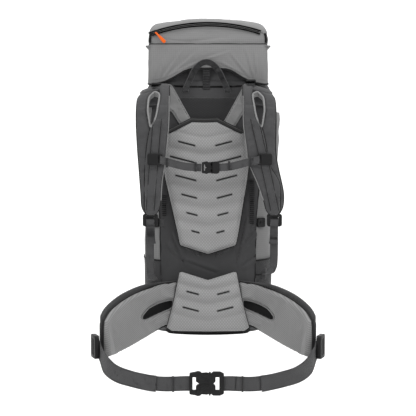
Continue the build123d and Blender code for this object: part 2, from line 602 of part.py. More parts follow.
def sternum_parts():
    """Sternum strap: sliders, webbing and the two halves of its buckle."""
    y = sternum_front() - WEBBING / 2
    thick = STERNUM_BUCKLE_THICK
    socket, plug = buckle_halves(STERNUM_FEMALE, STERNUM_MALE, STERNUM_PRONG,
                                 STERNUM_BUCKLE_HEIGHT, thick)
    place = Pos(STERNUM_BUCKLE_X, y - 2.0, STERNUM_Z)
    socket_left = STERNUM_BUCKLE_X - STERNUM_FEMALE
    left = webbing([(clip_x(-1) + 6, y, STERNUM_CLIP_Z), (-60, y, STERNUM_Z + 7),
                    (socket_left, y, STERNUM_Z)], STERNUM_WEB, WEBBING, (0, 0, 1)) - place * socket
    end = STERNUM_BUCKLE_X + 5
    straight = STERNUM_BUCKLE_X + STERNUM_MALE + STERNUM_RELEASE + 4
    right = webbing([(end, y, STERNUM_Z), (straight, y, STERNUM_Z),
                     (clip_x(1) - 6, y, STERNUM_CLIP_Z)], STERNUM_WEB, WEBBING, (0, 0, 1))
    slot = block(0, BIG, y - WEBBING / 2 - FIT, y + WEBBING / 2 + FIT,
                 STERNUM_Z - STERNUM_WEB / 2 - FIT, STERNUM_Z + STERNUM_WEB / 2 + FIT)
    male = place * plug
    back_of_prongs = block(-BIG, BIG, y - WEBBING / 2 - FIT, BIG, 0, BIG)
    frame_part = male & block(STERNUM_BUCKLE_X + GAP, BIG, -BIG, BIG, 0, BIG)
    prongs = (male & block(-BIG, STERNUM_BUCKLE_X + GAP, -BIG, BIG, 0, BIG)) - back_of_prongs
    return {
        "sternum_sliders": Compound(children=[sternum_clip(side) for side in (-1, 1)]),
        "sternum_webbing": Compound(children=[left, right]),
        "sternum_socket": place * socket,
        "sternum_plug": (frame_part - slot) + prongs,
    }


# ---------------------------------------------------------------- hip belt
def fin_layer(side, inner, outer):
    """Layer of the curved hip fin between two distances outside its middle line."""
    path = [(side * x, y) for x, y in FIN_PATH]
    near = beside(path, side * inner)
    far = beside(path, side * outer)
    sections = []
    for a, b, low, high in zip(near, far, FIN_LOW, FIN_HIGH):
        corners = [(a[0], a[1], low), (b[0], b[1], low), (b[0], b[1], high), (a[0], a[1], high)]
        sections.append(make_face(Polyline(*corners, close=True)))
    return loft(sections, ruled=True)


def hip_fin(side):
    """Slotted pad and shell of a fin, split at the line where it flexes beside the lumbar pad."""
    total = FIN_PAD_THICK + FIN_SHELL_THICK
    slot = outline_xz(mirrored(FIN_SLOT, side), 100, -300)
    pad = fin_layer(side, -total / 2, total / 2 - FIN_SHELL_THICK) - slot
    shell = fin_layer(side, total / 2 - FIN_SHELL_THICK, total / 2)
    outside = side_block(side, FIN_HINGE_X, BIG, -BIG, BIG, -BIG, BIG)
    root = (pad + shell) - outside
    return pad & outside, shell & outside, root


def lock_front():
    """Front edge of the ladder lock at the fin's tip."""
    return FIN_PATH[-1][1] + BELT_LOCK_LAP - BELT_LOCK[1]


def belt_lock(side):
    """Ladder lock at the tip of a fin."""
    thick, length, height = BELT_LOCK
    start = FIN_PATH[-1][0] + (FIN_PAD_THICK + FIN_SHELL_THICK) / 2
    front = lock_front()
    body = side_block(side, start - BELT_LOCK_SEAT, start + thick, front, front + length,
                      -height / 2, height / 2)
    hole = side_block(side, 0, BIG, front + BELT_LOCK_BAR, front + length - BELT_LOCK_BAR,
                      -BELT_WIDTH / 2, BELT_WIDTH / 2)
    total = FIN_PAD_THICK + FIN_SHELL_THICK
    return body - hole - fin_layer(side, -total / 2, total / 2)


def belt_webbing(side):
    """Hip belt webbing from the fin tip to its half of the buckle."""
    end_x = -BUCKLE_LEFT if side < 0 else BUCKLE_RIGHT
    points = [(side * x, y, z) for x, y, z in BELT_PATH]
    points.append((side * end_x, BUCKLE_Y, BUCKLE_Z))
    strap = webbing(points, BELT_WIDTH, BELT_WEBBING, (0, 0, 1))
    buckle_half = hip_buckle()[0 if side < 0 else 1]
    return (strap & block(-BIG, BIG, -BIG, lock_front(), -BIG, BIG)) - buckle_half


def hip_buckle():
    """The two halves of the hip belt buckle."""
    height, thick, shell = BUCKLE_HEIGHT, BUCKLE_THICK, BUCKLE_SHELL
    socket = block(BUCKLE_LEFT, BUCKLE_SPLIT, -thick / 2, thick / 2, -height / 2, height / 2)
    pocket = block(BUCKLE_SPLIT - PRONG_LENGTH - FIT, BUCKLE_SPLIT, -thick / 2 + shell,
                   thick / 2 - shell, -height / 2 + shell, height / 2 - shell)
    window = block(BUCKLE_LEFT + 5, BUCKLE_LEFT + 13, -BIG, BIG, -BELT_WIDTH / 2, BELT_WIDTH / 2)
    inside = shell + 2 * FIT
    plug = block(BUCKLE_SPLIT + GAP, BUCKLE_RIGHT, -thick / 2, thick / 2, -height / 2, height / 2)
    plug = plug - block(BUCKLE_RIGHT - 13, BUCKLE_RIGHT - 5, -BIG, BIG, -BELT_WIDTH / 2, BELT_WIDTH / 2)
    for side in (-1, 1):
        low, high = sorted((side * (height / 2 - inside), side * (height / 2 - inside - 9)))
        plug = plug + block(BUCKLE_SPLIT - PRONG_LENGTH, BUCKLE_SPLIT + GAP, -thick / 2 + inside,
                            thick / 2 - inside, low, high)
    place = Pos(0, BUCKLE_Y, BUCKLE_Z)
    return place * (socket - pocket - window), place * plug


# ---------------------------------------------------------------- haul loop
def haul_loop():
    """Arched grab loop; both feet turn on one line at the back panel."""
    half = LOOP_BAND / 2
    spring_z = LOOP_TOP_Z - LOOP_REACH
    back = LOOP_FRONT + LOOP_THICK
    outer = Pos(0, 0, spring_z) * (Plane.XZ * Circle(LOOP_REACH + half))
    outer = extrude(outer, amount=LOOP_THICK)
    inner = extrude(Pos(0, 0, spring_z) * (Plane.XZ * Circle(LOOP_REACH - half)), amount=LOOP_THICK)
    shape = Pos(0, back, -half) * (outer - inner)
    shape = shape & block(-BIG, BIG, -BIG, BIG, spring_z - half, BIG)
    for side in (-1, 1):
        low, high = LOOP_REACH - half, LOOP_REACH + half
        shape = shape + side_block(side, low, high, LOOP_FRONT, back, LOOP_FOOT_Z, spring_z - half)
        shape = shape + side_block(side, low, high, LOOP_FRONT, -GAP, LOOP_FOOT_Z, LOOP_FOOT_Z + 10)
    return shape


def hang_tape():
    """Stitched tape between the rear flap and the back panel."""
    half = HANG_TAPE_WIDTH / 2
    rear = block(-half, half, -WEBBING, 0, HANG_TAPE_LOW, HEM_Z)
    face = LID_BACK + WALL
    slope = [(-WEBBING, HEM_Z), (0.0, HEM_Z), (face + WEBBING, HANG_TAPE_HIGH),
             (face + WEBBING, HANG_TAPE_HIGH + 12), (face, HANG_TAPE_HIGH + 12), (face, HANG_TAPE_HIGH)]
    return rear + profile_yz(slope, half)


# ---------------------------------------------------------------- assembly
def build():
    """Every sub-part by its node name, in the bag's own heights."""
    parts = bag_panels()
    parts["collar"] = collar()
    parts["collar_drawcord"] = collar_drawcord()
    parts.update(cord_lock())
    parts.update(frame())
    parts["left_side_pocket"] = side_pocket(-1)
    parts["right_side_pocket"] = side_pocket(1)
    parts.update(compression_straps())
    parts.update(lid_pieces())
    parts.update(lid_zip())
    parts.update(lid_straps())
    parts.update(front_zip())
    parts.update(back_pads())
    parts["yoke"] = yoke()
    lifters = [load_lifter(side) for side in (-1, 1)]
    parts["left_shoulder_strap"] = shoulder_strap(-1)
    parts["right_shoulder_strap"] = shoulder_strap(1)
    parts["strap_rails"] = Compound(children=[strap_rail(side) for side in (-1, 1)])
    parts["left_strap_adjuster"] = strap_adjuster(-1)
    parts["right_strap_adjuster"] = strap_adjuster(1)
    parts["left_strap_webbing"] = strap_webbing(-1)
    parts["right_strap_webbing"] = strap_webbing(1)
    parts["load_lifters"] = Compound(children=[web for web, lock in lifters])
    parts["load_lifter_locks"] = Compound(children=[lock for web, lock in lifters])
    parts.update(sternum_parts())
    roots = []
    for side, name in ((-1, "left"), (1, "right")):
        pad, shell, root = hip_fin(side)
        roots.append(root)
        parts[name + "_fin_pad"] = pad
        parts[name + "_fin_shell"] = shell
        parts[name + "_belt_lock"] = belt_lock(side)
        parts[name + "_belt_webbing"] = belt_webbing(side)
    parts["fin_roots"] = Compound(children=roots)
    parts["hip_buckle_socket"], parts["hip_buckle_plug"] = hip_buckle()
    parts["haul_loop"] = haul_loop()
    parts["hang_tape"] = hang_tape()
    return parts


HANG_POINT = (0.0, LOOP_FRONT + LOOP_THICK / 2, LOOP_TOP_Z - LOOP_BAND)

os.makedirs("parts", exist_ok=True)
for node, shape in build().items():
    moved = Pos(-HANG_POINT[0], -HANG_POINT[1], -HANG_POINT[2]) * shape
    export_step(moved, os.path.join("parts", node + ".step"))
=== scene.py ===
"""Looks of the hiking backpack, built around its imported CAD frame.

Sizes are millimetres in the bag's own heights: x to the right as the harness is seen, y from the
harness to the front of the bag, z up from the bottom of the bag. Datum turns them into the metres of
the shared frame. Each sub-assembly is a class with its sizes as fields and a build method.
"""

import logging
import math
from collections.abc import Callable, Iterable, Iterator, Sequence
from contextlib import contextmanager
from dataclasses import dataclass
from enum import Enum

import bmesh
import bpy
import numpy as np
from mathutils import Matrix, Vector, geometry, noise


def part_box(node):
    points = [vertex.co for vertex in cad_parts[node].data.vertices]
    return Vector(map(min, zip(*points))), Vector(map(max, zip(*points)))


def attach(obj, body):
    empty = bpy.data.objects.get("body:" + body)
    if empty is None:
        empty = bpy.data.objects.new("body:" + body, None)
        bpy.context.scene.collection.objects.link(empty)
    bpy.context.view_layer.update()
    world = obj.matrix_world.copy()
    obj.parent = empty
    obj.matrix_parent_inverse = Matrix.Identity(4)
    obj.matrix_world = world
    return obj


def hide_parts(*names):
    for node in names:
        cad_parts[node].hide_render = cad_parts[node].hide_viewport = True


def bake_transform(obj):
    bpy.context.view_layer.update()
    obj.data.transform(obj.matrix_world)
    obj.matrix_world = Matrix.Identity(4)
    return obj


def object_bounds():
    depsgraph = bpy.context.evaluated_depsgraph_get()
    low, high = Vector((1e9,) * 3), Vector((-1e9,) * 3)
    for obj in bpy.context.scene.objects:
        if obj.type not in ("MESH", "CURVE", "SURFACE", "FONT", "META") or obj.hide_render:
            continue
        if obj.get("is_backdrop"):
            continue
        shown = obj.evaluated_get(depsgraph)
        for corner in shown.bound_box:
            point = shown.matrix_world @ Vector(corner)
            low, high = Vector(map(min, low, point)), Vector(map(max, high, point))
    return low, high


LOG = logging.getLogger("backpack")
MM = 0.001
Point2 = tuple[float, float]
Point3 = tuple[float, float, float]
Profile2 = Callable[[np.ndarray, np.ndarray], np.ndarray]
SIDES = ((-1, "left"), (1, "right"))
REARWARD = (0.0, -1.0, 0.0)         # out of the harness side, towards the wearer
FORWARD = (0.0, 1.0, 0.0)
RIGHTWARD = (1.0, 0.0, 0.0)
ALONG_X = (RIGHTWARD,)              # a ribbon's width, the same all along it
ALONG_Z = ((0.0, 0.0, 1.0),)


# ---------------------------------------------------------------------------------------- datum
class Datum:
    """Turns millimetres in the bag's own heights into metres of the shared frame."""

    def __init__(self) -> None:
        """Take the bag's floor and its harness face from the CAD frame."""
        low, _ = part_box("bottom_panel")
        back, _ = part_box("back_panel")
        self.shift = np.array([0.0, back.y, low.z])

    def metres(self, points: np.ndarray) -> np.ndarray:
        """Give the places of an array of points in the shared frame."""
        return np.asarray(points, float) * MM + self.shift

    def place(self, x: float, y: float, z: float) -> Vector:
        """Give the place of one point in the shared frame."""
        return Vector(self.metres(np.array([x, y, z])))

    def box(self, node: str) -> tuple[np.ndarray, np.ndarray]:
        """Give the lowest and highest corner of a CAD node in millimetres."""
        low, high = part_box(node)
        return (np.array(low) - self.shift) / MM, (np.array(high) - self.shift) / MM


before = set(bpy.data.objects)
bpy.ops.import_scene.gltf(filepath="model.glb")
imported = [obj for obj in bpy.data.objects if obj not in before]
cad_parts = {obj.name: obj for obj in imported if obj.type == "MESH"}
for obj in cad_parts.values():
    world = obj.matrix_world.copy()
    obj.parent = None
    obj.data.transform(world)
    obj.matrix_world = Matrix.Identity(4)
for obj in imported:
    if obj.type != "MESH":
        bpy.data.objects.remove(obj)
DATUM = Datum()
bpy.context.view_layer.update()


# ---------------------------------------------------------------------------------------- finishes
def linear(colour: str) -> tuple[float, float, float, float]:
    """Turn an sRGB hex colour into a linear one.

    Args:
        colour: Six hex digits, with or without a leading hash.

    Returns:
        Linear red, green, blue and an alpha of 1.
    """
    digits = colour.lstrip("#")
    parts = [int(digits[i:i + 2], 16) / 255 for i in (0, 2, 4)]
    red, green, blue = [c / 12.92 if c <= 0.04045 else ((c + 0.055) / 1.055) ** 2.4 for c in parts]
    return (red, green, blue, 1.0)


def add(tree: bpy.types.NodeTree, kind: str, settings: dict | None = None,
        links: dict | None = None) -> bpy.types.Node:
    """Add a node to a tree with its settings and links.

    Args:
        tree: Node tree that gets the node.
        kind: Type name of the node.
        settings: Values by property name, or by input name or number.
        links: Output sockets by the input name or number that they go into.

    Returns:
        The new node.
    """
    node = tree.nodes.new(kind)
    for key, value in (settings or {}).items():
        if isinstance(key, str) and hasattr(node, key):
            setattr(node, key, value)
        else:
            node.inputs[key].default_value = value
    for key, output in (links or {}).items():
        tree.links.new(output, node.inputs[key])
    return node


def calc(tree: bpy.types.NodeTree, operation: str, *inputs: float | bpy.types.NodeSocket,
         clamp: bool = False) -> bpy.types.NodeSocket:
    """Add a maths node and give its output.

    Args:
        tree: Node tree that gets the node.
        operation: Name of the operation.
        inputs: Numbers, or sockets to link.
        clamp: Whether the result is kept between 0 and 1.

    Returns:
        The node's output.
    """
    fixed = {k: value for k, value in enumerate(inputs) if isinstance(value, (int, float))}
    linked = {k: value for k, value in enumerate(inputs) if k not in fixed}
    node = add(tree, "ShaderNodeMath", {"operation": operation, "use_clamp": clamp, **fixed}, linked)
    return node.outputs[0]


def blank_material(name: str) -> tuple[bpy.types.Material, bpy.types.NodeTree]:
    """Make a material with no nodes in its tree."""
    material = bpy.data.materials.new(name)
    material.use_nodes = True
    material.node_tree.nodes.clear()
    return material, material.node_tree


class Weave(Enum):
    """How the two sets of waves of a fabric pattern are put together."""

    GRID = "MULTIPLY"
    LINES = "MAXIMUM"
    RIBS = "ADD"


class Space(Enum):
    """Coordinates that a pattern follows."""

    OBJECT = "Object"
    UV = "UV"


@dataclass(frozen=True)
class Fabric:
    """Woven, knitted or spacer fabric: two sets of waves give the yarn, noise gives its unevenness."""

    name: str
    colour: str
    shade: str
    pitch: tuple[float, float] = (2.0, 2.0)
    angles: tuple[float, float] = (0.0, 90.0)
    weave: Weave = Weave.GRID
    space: Space = Space.OBJECT
    sharp: float = 1.0
    bump: float = 0.3
    rough: float = 0.88
    sheen: float = 0.15
    mottle: float = 0.12

    def build(self) -> bpy.types.Material:
        """Make the material, with its pattern in millimetres."""
        material, tree = blank_material(self.name)
        coords = add(tree, "ShaderNodeTexCoord")
        place = coords.outputs[self.space.value]
        parts = add(tree, "ShaderNodeSeparateXYZ", links={0: place})
        flat = self.space is Space.UV
        first, second = parts.outputs[0], parts.outputs[1 if flat else 2]
        if not flat:
            first = calc(tree, "ADD", first, parts.outputs[1])
        waves = []
        for pitch, angle in zip(self.pitch, self.angles):
            turn = math.radians(angle)
            share = 2 * math.pi / (pitch * MM)
            across = calc(tree, "MULTIPLY", first, share * math.cos(turn))
            along = calc(tree, "MULTIPLY_ADD", second, share * math.sin(turn), across)
            unit = calc(tree, "MULTIPLY_ADD", calc(tree, "SINE", along), 0.5, 0.5)
            waves.append(calc(tree, "POWER", unit, self.sharp))
        yarn = calc(tree, self.weave.value, *waves, clamp=True)
        fuzz = add(tree, "ShaderNodeTexNoise", {"Scale": 900.0, "Detail": 2.0},
                   {"Vector": coords.outputs["Object"]})
        cloud = add(tree, "ShaderNodeTexNoise", {"Scale": 9.0, "Detail": 3.0},
                    {"Vector": coords.outputs["Object"]})
        base = add(tree, "ShaderNodeMix", {"data_type": "RGBA", 6: linear(self.shade),
                                           7: linear(self.colour)}, {0: yarn})
        level = add(tree, "ShaderNodeMapRange", {"From Min": 0.3, "From Max": 0.7,
                                                 "To Min": 1 - self.mottle, "To Max": 1 + self.mottle},
                    {0: cloud.outputs[0]})
        shaded = add(tree, "ShaderNodeVectorMath", {"operation": "SCALE"},
                     {0: base.outputs[2], 3: level.outputs[0]})
        # Painted shade: where a piece's slit mask is set, its colour is mixed towards near-black #0c0c0c, the
        # shade inside the cut slits and behind the hip fins' slots.
        slit_shade = add(tree, "ShaderNodeAttribute", {"attribute_name": "slit_shade"})
        slit_shaded = add(tree, "ShaderNodeMix", {"data_type": "RGBA", 7: linear("#0c0c0c")},
                    {0: slit_shade.outputs["Fac"], 6: shaded.outputs[0]})
        height = calc(tree, "MULTIPLY_ADD", fuzz.outputs[0], 0.3, yarn)
        bump = add(tree, "ShaderNodeBump", {"Strength": self.bump, "Distance": min(self.pitch) * MM / 3},
                   {"Height": height})
        surface = add(tree, "ShaderNodeBsdfPrincipled",
                      {"Roughness": self.rough, "Sheen Weight": self.sheen, "Sheen Roughness": 0.5,
                       "Specular IOR Level": 0.25},
                      {"Base Color": slit_shaded.outputs[2], "Normal": bump.outputs[0]})
        add(tree, "ShaderNodeOutputMaterial", links={0: surface.outputs[0]})
        return material


@dataclass(frozen=True)
class Solid:
    """Moulded, cast or drawn material: one colour, with a fine grain from its making."""

    name: str
    colour: str
    rough: float = 0.4
    metallic: float = 0.0
    grain: float = 0.05
    grain_size: float = 0.6

    def build(self) -> bpy.types.Material:
        """Make the material, with its grain in millimetres."""
        material, tree = blank_material(self.name)
        coords = add(tree, "ShaderNodeTexCoord")
        grain = add(tree, "ShaderNodeTexNoise", {"Scale": 1 / (self.grain_size * MM), "Detail": 2.0},
                    {"Vector": coords.outputs["Object"]})
        bump = add(tree, "ShaderNodeBump", {"Strength": self.grain, "Distance": self.grain_size * MM / 4},
                   {"Height": grain.outputs[0]})
        rough = add(tree, "ShaderNodeMapRange", {"To Min": self.rough - 0.06, "To Max": self.rough + 0.06},
                    {0: grain.outputs[0]})
        surface = add(tree, "ShaderNodeBsdfPrincipled",
                      {"Base Color": linear(self.colour), "Metallic": self.metallic,
                       "Specular IOR Level": 0.3},
                      {"Roughness": rough.outputs[0], "Normal": bump.outputs[0]})
        add(tree, "ShaderNodeOutputMaterial", links={0: surface.outputs[0]})
        return material


class Palette:
    """Every finish on the bag. Yarns too fine to show are drawn about twice their real pitch."""

    def __init__(self) -> None:
        """Make the materials."""
        # 600 denier polyester, plain weave with a matt coating inside: dull, nearly no highlight.
        self.dark = Fabric("Polyester_600D_dark", "#4a4a4b", "#3c3c3d", (1.6, 1.6), mottle=0.08).build()
        # Same cloth on the straps' faces, a little darker and softer.
        self.strap = Fabric("Polyester_600D_strap", "#4f4f50", "#434344", (1.6, 1.6), mottle=0.06).build()
        # 210 denier ripstop: thicker yarns every 5 mm give a faint square grid.
        self.ripstop = Fabric("Ripstop_polyester_grey", "#818181", "#797979", (5.0, 5.0),
                              weave=Weave.LINES, sharp=14.0, bump=0.25, sheen=0.08, mottle=0.05).build()
        # Spacer mesh: hexagonal knit, drawn as diamonds 5 mm high.
        self.spacer = Fabric("Spacer_mesh_grey", "#9b9b9b", "#868686", (5.4, 5.4), (40.0, 140.0),
                             weave=Weave.GRID, sharp=0.7, bump=0.25, space=Space.UV, sheen=0.2,
                             mottle=0.05).build()
        # Ribbed mesh of the fins: fine diagonal ribs.
        self.ribbed = Fabric("Ribbed_mesh_grey", "#8a8a8a", "#777777", (4.4, 4.4), (62.0, 62.0),
                             weave=Weave.GRID, sharp=0.7, bump=0.2, space=Space.UV, sheen=0.2,
                             mottle=0.05).build()
        # Light lining and piping: brushed polyester.
        self.lining = Fabric("Brushed_polyester_light", "#979797", "#7c7c7c", (1.4, 1.4), bump=0.2).build()
        # Open stretch mesh of the side pockets.
        self.stretch = Fabric("Stretch_mesh_dark", "#555556", "#353536", (2.6, 2.6), (30.0, 150.0),
                              sharp=0.8, bump=0.7, mottle=0.05).build()
        # Narrow polyester webbing: ribs along its length, weft lines across.
        self.webbing = Fabric("Polyester_webbing_charcoal", "#5a5a5b", "#3b3b3c", (2.0, 1.5), (90.0, 0.0),
                              weave=Weave.GRID, sharp=0.6, bump=0.6, space=Space.UV, mottle=0.05).build()
        self.binding = Fabric("Grosgrain_binding_black", "#242425", "#151515", (1.5, 1.5), bump=0.4).build()
        # Darker webbing of the haul loop, the hang tape and the ladder tapes.
        self.tape = Fabric("Polyester_webbing_black", "#464647", "#303031", (2.0, 1.5), (90.0, 0.0),
                           sharp=0.6, bump=0.6, space=Space.UV, mottle=0.05).build()
        # Open mesh over dark foam in the upper back.
        self.vent = Fabric("Mesh_over_foam_dark", "#3e3e3f", "#242425", (3.0, 3.0), (30.0, 150.0),
                           bump=0.5, mottle=0.05).build()
        # Injection-moulded acetal: smooth, slightly waxy.
        self.acetal = Solid("Moulded_acetal_black", "#0d0d0e", 0.5).build()
        self.coil = Solid("Nylon_coil_black", "#0f0f10", 0.6).build()
        # Zinc die casting with a baked black paint.
        self.zinc = Solid("Painted_zinc_black", "#202021", 0.32, 0.3).build()
        # Braided polyester cord with a rubber sleeve, orange.
        self.orange = Fabric("Braided_cord_orange", "#ff7a20", "#d9591a", (1.2, 1.2), bump=0.4,
                             mottle=0.03).build()
        self.sheet = Solid("Extruded_polyethylene_black", "#1b1b1c", 0.45, grain_size=1.2).build()
        # Drawn aluminium flat bar, natural.
        self.aluminium = Solid("Drawn_aluminium", "#c4c6c8", 0.34, 1.0, 0.1).build()
        self.steel = Solid("Spring_steel", "#a8a8aa", 0.3, 1.0, 0.05).build()
        # Bonded polyester sewing thread.
        self.thread = Solid("Polyester_thread_grey", "#5c5c5d", 0.7).build()
        self.floor = Solid("Matt_painted_studio_floor", "#f4f4f4", 0.9, grain=0.0).build()


# ---------------------------------------------------------------------------------------- shapes
def smooth_path(points: Sequence[Sequence[float]], step: float) -> np.ndarray:
    """Run a Catmull-Rom curve through points and sample it evenly.

    Args:
        points: Points given, in millimetres.
        step: Distance between samples.

    Returns:
        Samples along the curve.
    """
    control = np.asarray(points, float)
    ends = np.vstack([2 * control[0] - control[1], control, 2 * control[-1] - control[-2]])
    samples = []
    for i in range(1, len(ends) - 2):
        a, b, c, d = ends[i - 1], ends[i], ends[i + 1], ends[i + 2]
        count = max(2, int(np.linalg.norm(c - b) / step * 2))
        t = np.linspace(0, 1, count, endpoint=False)[:, None]
        samples.append(0.5 * (2 * b + (c - a) * t + (2 * a - 5 * b + 4 * c - d) * t ** 2
                              + (3 * b - a - 3 * c + d) * t ** 3))
    samples.append(control[-1:])
    return even(np.vstack(samples), step)


def lengths(path: np.ndarray) -> np.ndarray:
    """Distance along a polyline to each of its points."""
    return np.concatenate([[0], np.cumsum(np.linalg.norm(np.diff(path, axis=0), axis=1))])


def directions(path: np.ndarray) -> np.ndarray:
    """Unit direction of a polyline at each of its points."""
    along = np.gradient(path, axis=0)
    return along / np.linalg.norm(along, axis=1)[:, None]


def even(path: np.ndarray, step: float) -> np.ndarray:
    """Sample a fine polyline evenly, with both its ends."""
    gaps = np.linalg.norm(np.diff(path, axis=0), axis=1)
    keep = np.concatenate([[True], gaps > 1e-6])
    path = path[keep]
    length = lengths(path)
    count = max(2, int(round(length[-1] / step)) + 1)
    at = np.linspace(0, length[-1], count)
    return np.column_stack([np.interp(at, length, path[:, k]) for k in range(path.shape[1])])


def closed_path(points: Sequence[Sequence[float]], step: float, tight: float = 0.5) -> np.ndarray:
    """Round a closed outline's corners and sample it evenly.

    Args:
        points: Corners of the outline, in order.
        step: Distance between samples.
        tight: How near the curve keeps to the corners, from 0 to 1.

    Returns:
        Samples round the outline, the first not repeated.
    """
    corners = np.asarray(points, float)
    pieces = []
    for i, here in enumerate(corners):
        before, after = corners[i - 1], corners[(i + 1) % len(corners)]
        start = here + (before - here) * (1 - tight) / 2
        end = here + (after - here) * (1 - tight) / 2
        t = np.linspace(0, 1, 12)[:, None]
        pieces.append((1 - t) ** 2 * start + 2 * t * (1 - t) * here + t ** 2 * end)
    ring = np.vstack(pieces + [pieces[0][:1]])
    return even(ring, step)[:-1]


def box_path(wide: float, tall: float, step: float, tight: float,
             middle: Point2 = (0.0, 0.0)) -> np.ndarray:
    """Rounded rectangle from half its width and height, round a middle."""
    x, z = middle
    return closed_path([(x - wide, z - tall), (x + wide, z - tall), (x + wide, z + tall),
                        (x - wide, z + tall)], step, tight)


def mirrored(corners: Sequence[Point2]) -> list[Point2]:
    """Corners of a whole outline from those of its right half."""
    return list(corners) + [(-x, z) for x, z in reversed(corners) if x > 0]


def stand(ring: np.ndarray, middle: Sequence[float]) -> np.ndarray:
    """Set a flat outline of x and z upright round a middle."""
    return np.column_stack([middle[0] + ring[:, 0], np.full(len(ring), middle[1]),
                            middle[2] + ring[:, 1]])


def upright(y: float) -> Profile2:
    """Give the map from a flat pattern (x, z) to a sheet that faces the wearer at a depth y."""
    def put(points: np.ndarray, rise: np.ndarray) -> np.ndarray:
        return np.column_stack([points[:, 0], y - rise, points[:, 1]])
    return put


def crease(x: np.ndarray, z: np.ndarray, ends: Sequence[float],
           fade: float) -> tuple[np.ndarray, np.ndarray]:
    """Measure points against a straight crease.

    Args:
        x: Places across.
        z: Heights.
        ends: x and z of its start, then of its end.
        fade: Length over which it fades in from each end.

    Returns:
        Distance to the left of the crease, and its strength from 0 to 1.
    """
    x0, z0, x1, z1 = ends
    along = np.array([x1 - x0, z1 - z0])
    length = np.hypot(*along)
    along /= length
    run = (x - x0) * along[0] + (z - z0) * along[1]
    off = -(x - x0) * along[1] + (z - z0) * along[0]
    return off, np.clip(np.minimum(run, length - run) / fade, 0, 1)


# ---------------------------------------------------------------------------------------- meshes
@contextmanager
def editing(mesh: bpy.types.Mesh) -> Iterator[bmesh.types.BMesh]:
    """Open a mesh for editing; at the end its faces are turned outwards and it is written back."""
    work = bmesh.new()
    work.from_mesh(mesh)
    yield work
    bmesh.ops.recalc_face_normals(work, faces=work.faces)
    work.to_mesh(mesh)
    work.free()


def close_opening(piece: bpy.types.Object, near: Callable[[float], bool]) -> None:
    """Fill the opening of a piece whose rim has heights in metres that pass a test."""
    with editing(piece.data) as work:
        edges = [e for e in work.edges if e.is_boundary and all(near(v.co.z) for v in e.verts)]
        bmesh.ops.contextual_create(work, geom=edges)


def add_wall(piece: bpy.types.Object, thick: float, even_offset: bool = False) -> None:
    """Give a sheet a wall in millimetres, half of it on each side."""
    wall = piece.modifiers.new("wall", "SOLIDIFY")
    wall.thickness = thick * MM
    wall.offset = 0.0
    wall.use_even_offset = even_offset


def add_lines(curve: bpy.types.Curve, paths: Sequence[np.ndarray], closed: bool = False) -> None:
    """Add straight-edged lines to a curve."""
    for path in paths:
        spline = curve.splines.new("POLY")
        spline.points.add(len(path) - 1)
        spline.points.foreach_set("co", np.column_stack([path, np.ones(len(path))]).ravel())
        spline.use_cyclic_u = closed


def make_object(name: str, points: np.ndarray, faces: list, uv: np.ndarray | None = None,
                sharp: float | None = None) -> bpy.types.Object:
    """Make a mesh object from points in millimetres.

    Args:
        name: Name of the piece.
        points: Points in the bag's own heights.
        faces: Faces as lists of point numbers.
        uv: Flat place of each point in millimetres, if a pattern follows the surface.
        sharp: Angle in degrees past which edges stay sharp, or None for a smooth piece.

    Returns:
        The new object, at the origin, with its faces turned outwards.
    """
    mesh = bpy.data.meshes.new(name)
    mesh.from_pydata(DATUM.metres(points).tolist(), [], faces)
    if uv is not None:
        layer = mesh.uv_layers.new(name="UVMap")
        corners = np.empty(len(mesh.loops), int)
        mesh.loops.foreach_get("vertex_index", corners)
        layer.data.foreach_set("uv", (np.asarray(uv, float)[corners] * MM).ravel())
    with editing(mesh):
        pass        # opening and closing the mesh is what turns its faces outwards
    mesh.shade_smooth()
    if sharp is not None:
        mesh.set_sharp_from_angle(angle=math.radians(sharp))
    made = bpy.data.objects.new(name, mesh)
    bpy.context.scene.collection.objects.link(made)
    return made


def finish(piece: bpy.types.Object, material: bpy.types.Material, body: str,
           replaces: Iterable[str] = ()) -> bpy.types.Object:
    """Dress a finished piece and make it ride on its body.

    Args:
        piece: The piece, with its place in its mesh.
        material: Its finish.
        body: CAD body that it moves with.
        replaces: CAD nodes that it stands for.

    Returns:
        The same piece.
    """
    if not piece.data.materials:
        piece.data.materials.append(material)
    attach(piece, body)
    for node in replaces:
        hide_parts(node)
    return piece


def dress(node: str, material: bpy.types.Material) -> None:
    """Give a CAD node its finish, without touching its shape."""
    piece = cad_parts[node]
    piece.data.materials.clear()
    piece.data.materials.append(material)


def from_curve(name: str, paths: Sequence[np.ndarray], closed: bool = False, radius: float = 0.0,
               extrude: float = 0.0, sharp: float | None = None, fine: int = 2) -> bpy.types.Object:
    """Make a tube along paths, or a bevelled plate from flat outlines.

    Args:
        name: Name of the piece.
        paths: Lines in millimetres; flat outlines lie in x and z, with y as the plate's middle.
        closed: Whether each path is a ring.
        radius: Radius of the tube, or of the plate's bevel.
        extrude: Half the plate's thickness without its bevel; 0 for a tube.
        sharp: Angle in degrees past which edges stay sharp.
        fine: Segments of the bevel.

    Returns:
        A mesh object with its place in its mesh.
    """
    flat = extrude > 0
    curve = bpy.data.curves.new(name, "CURVE")
    curve.dimensions = "2D" if flat else "3D"
    curve.bevel_depth = radius
    curve.bevel_resolution = fine
    curve.extrude = extrude
    curve.use_fill_caps = not flat
    if flat:
        curve.fill_mode = "BOTH"
    lying = [np.column_stack([path[:, 0], path[:, 2], np.zeros(len(path))]) for path in paths]
    add_lines(curve, lying if flat else paths, closed)
    holder = bpy.data.objects.new(name + "_curve", curve)
    bpy.context.scene.collection.objects.link(holder)
    graph = bpy.context.evaluated_depsgraph_get()
    mesh = bpy.data.meshes.new_from_object(holder.evaluated_get(graph))
    bpy.data.objects.remove(holder)
    points = vertex_places(mesh)
    if flat:
        middle = paths[0][:, 1].mean()
        points = np.column_stack([points[:, 0], middle - points[:, 2], points[:, 1]])
    faces = [list(p.vertices) for p in mesh.polygons]
    made = make_object(name, points, faces, sharp=sharp)
    if flat:
        weld(made, 0.01)
    return made


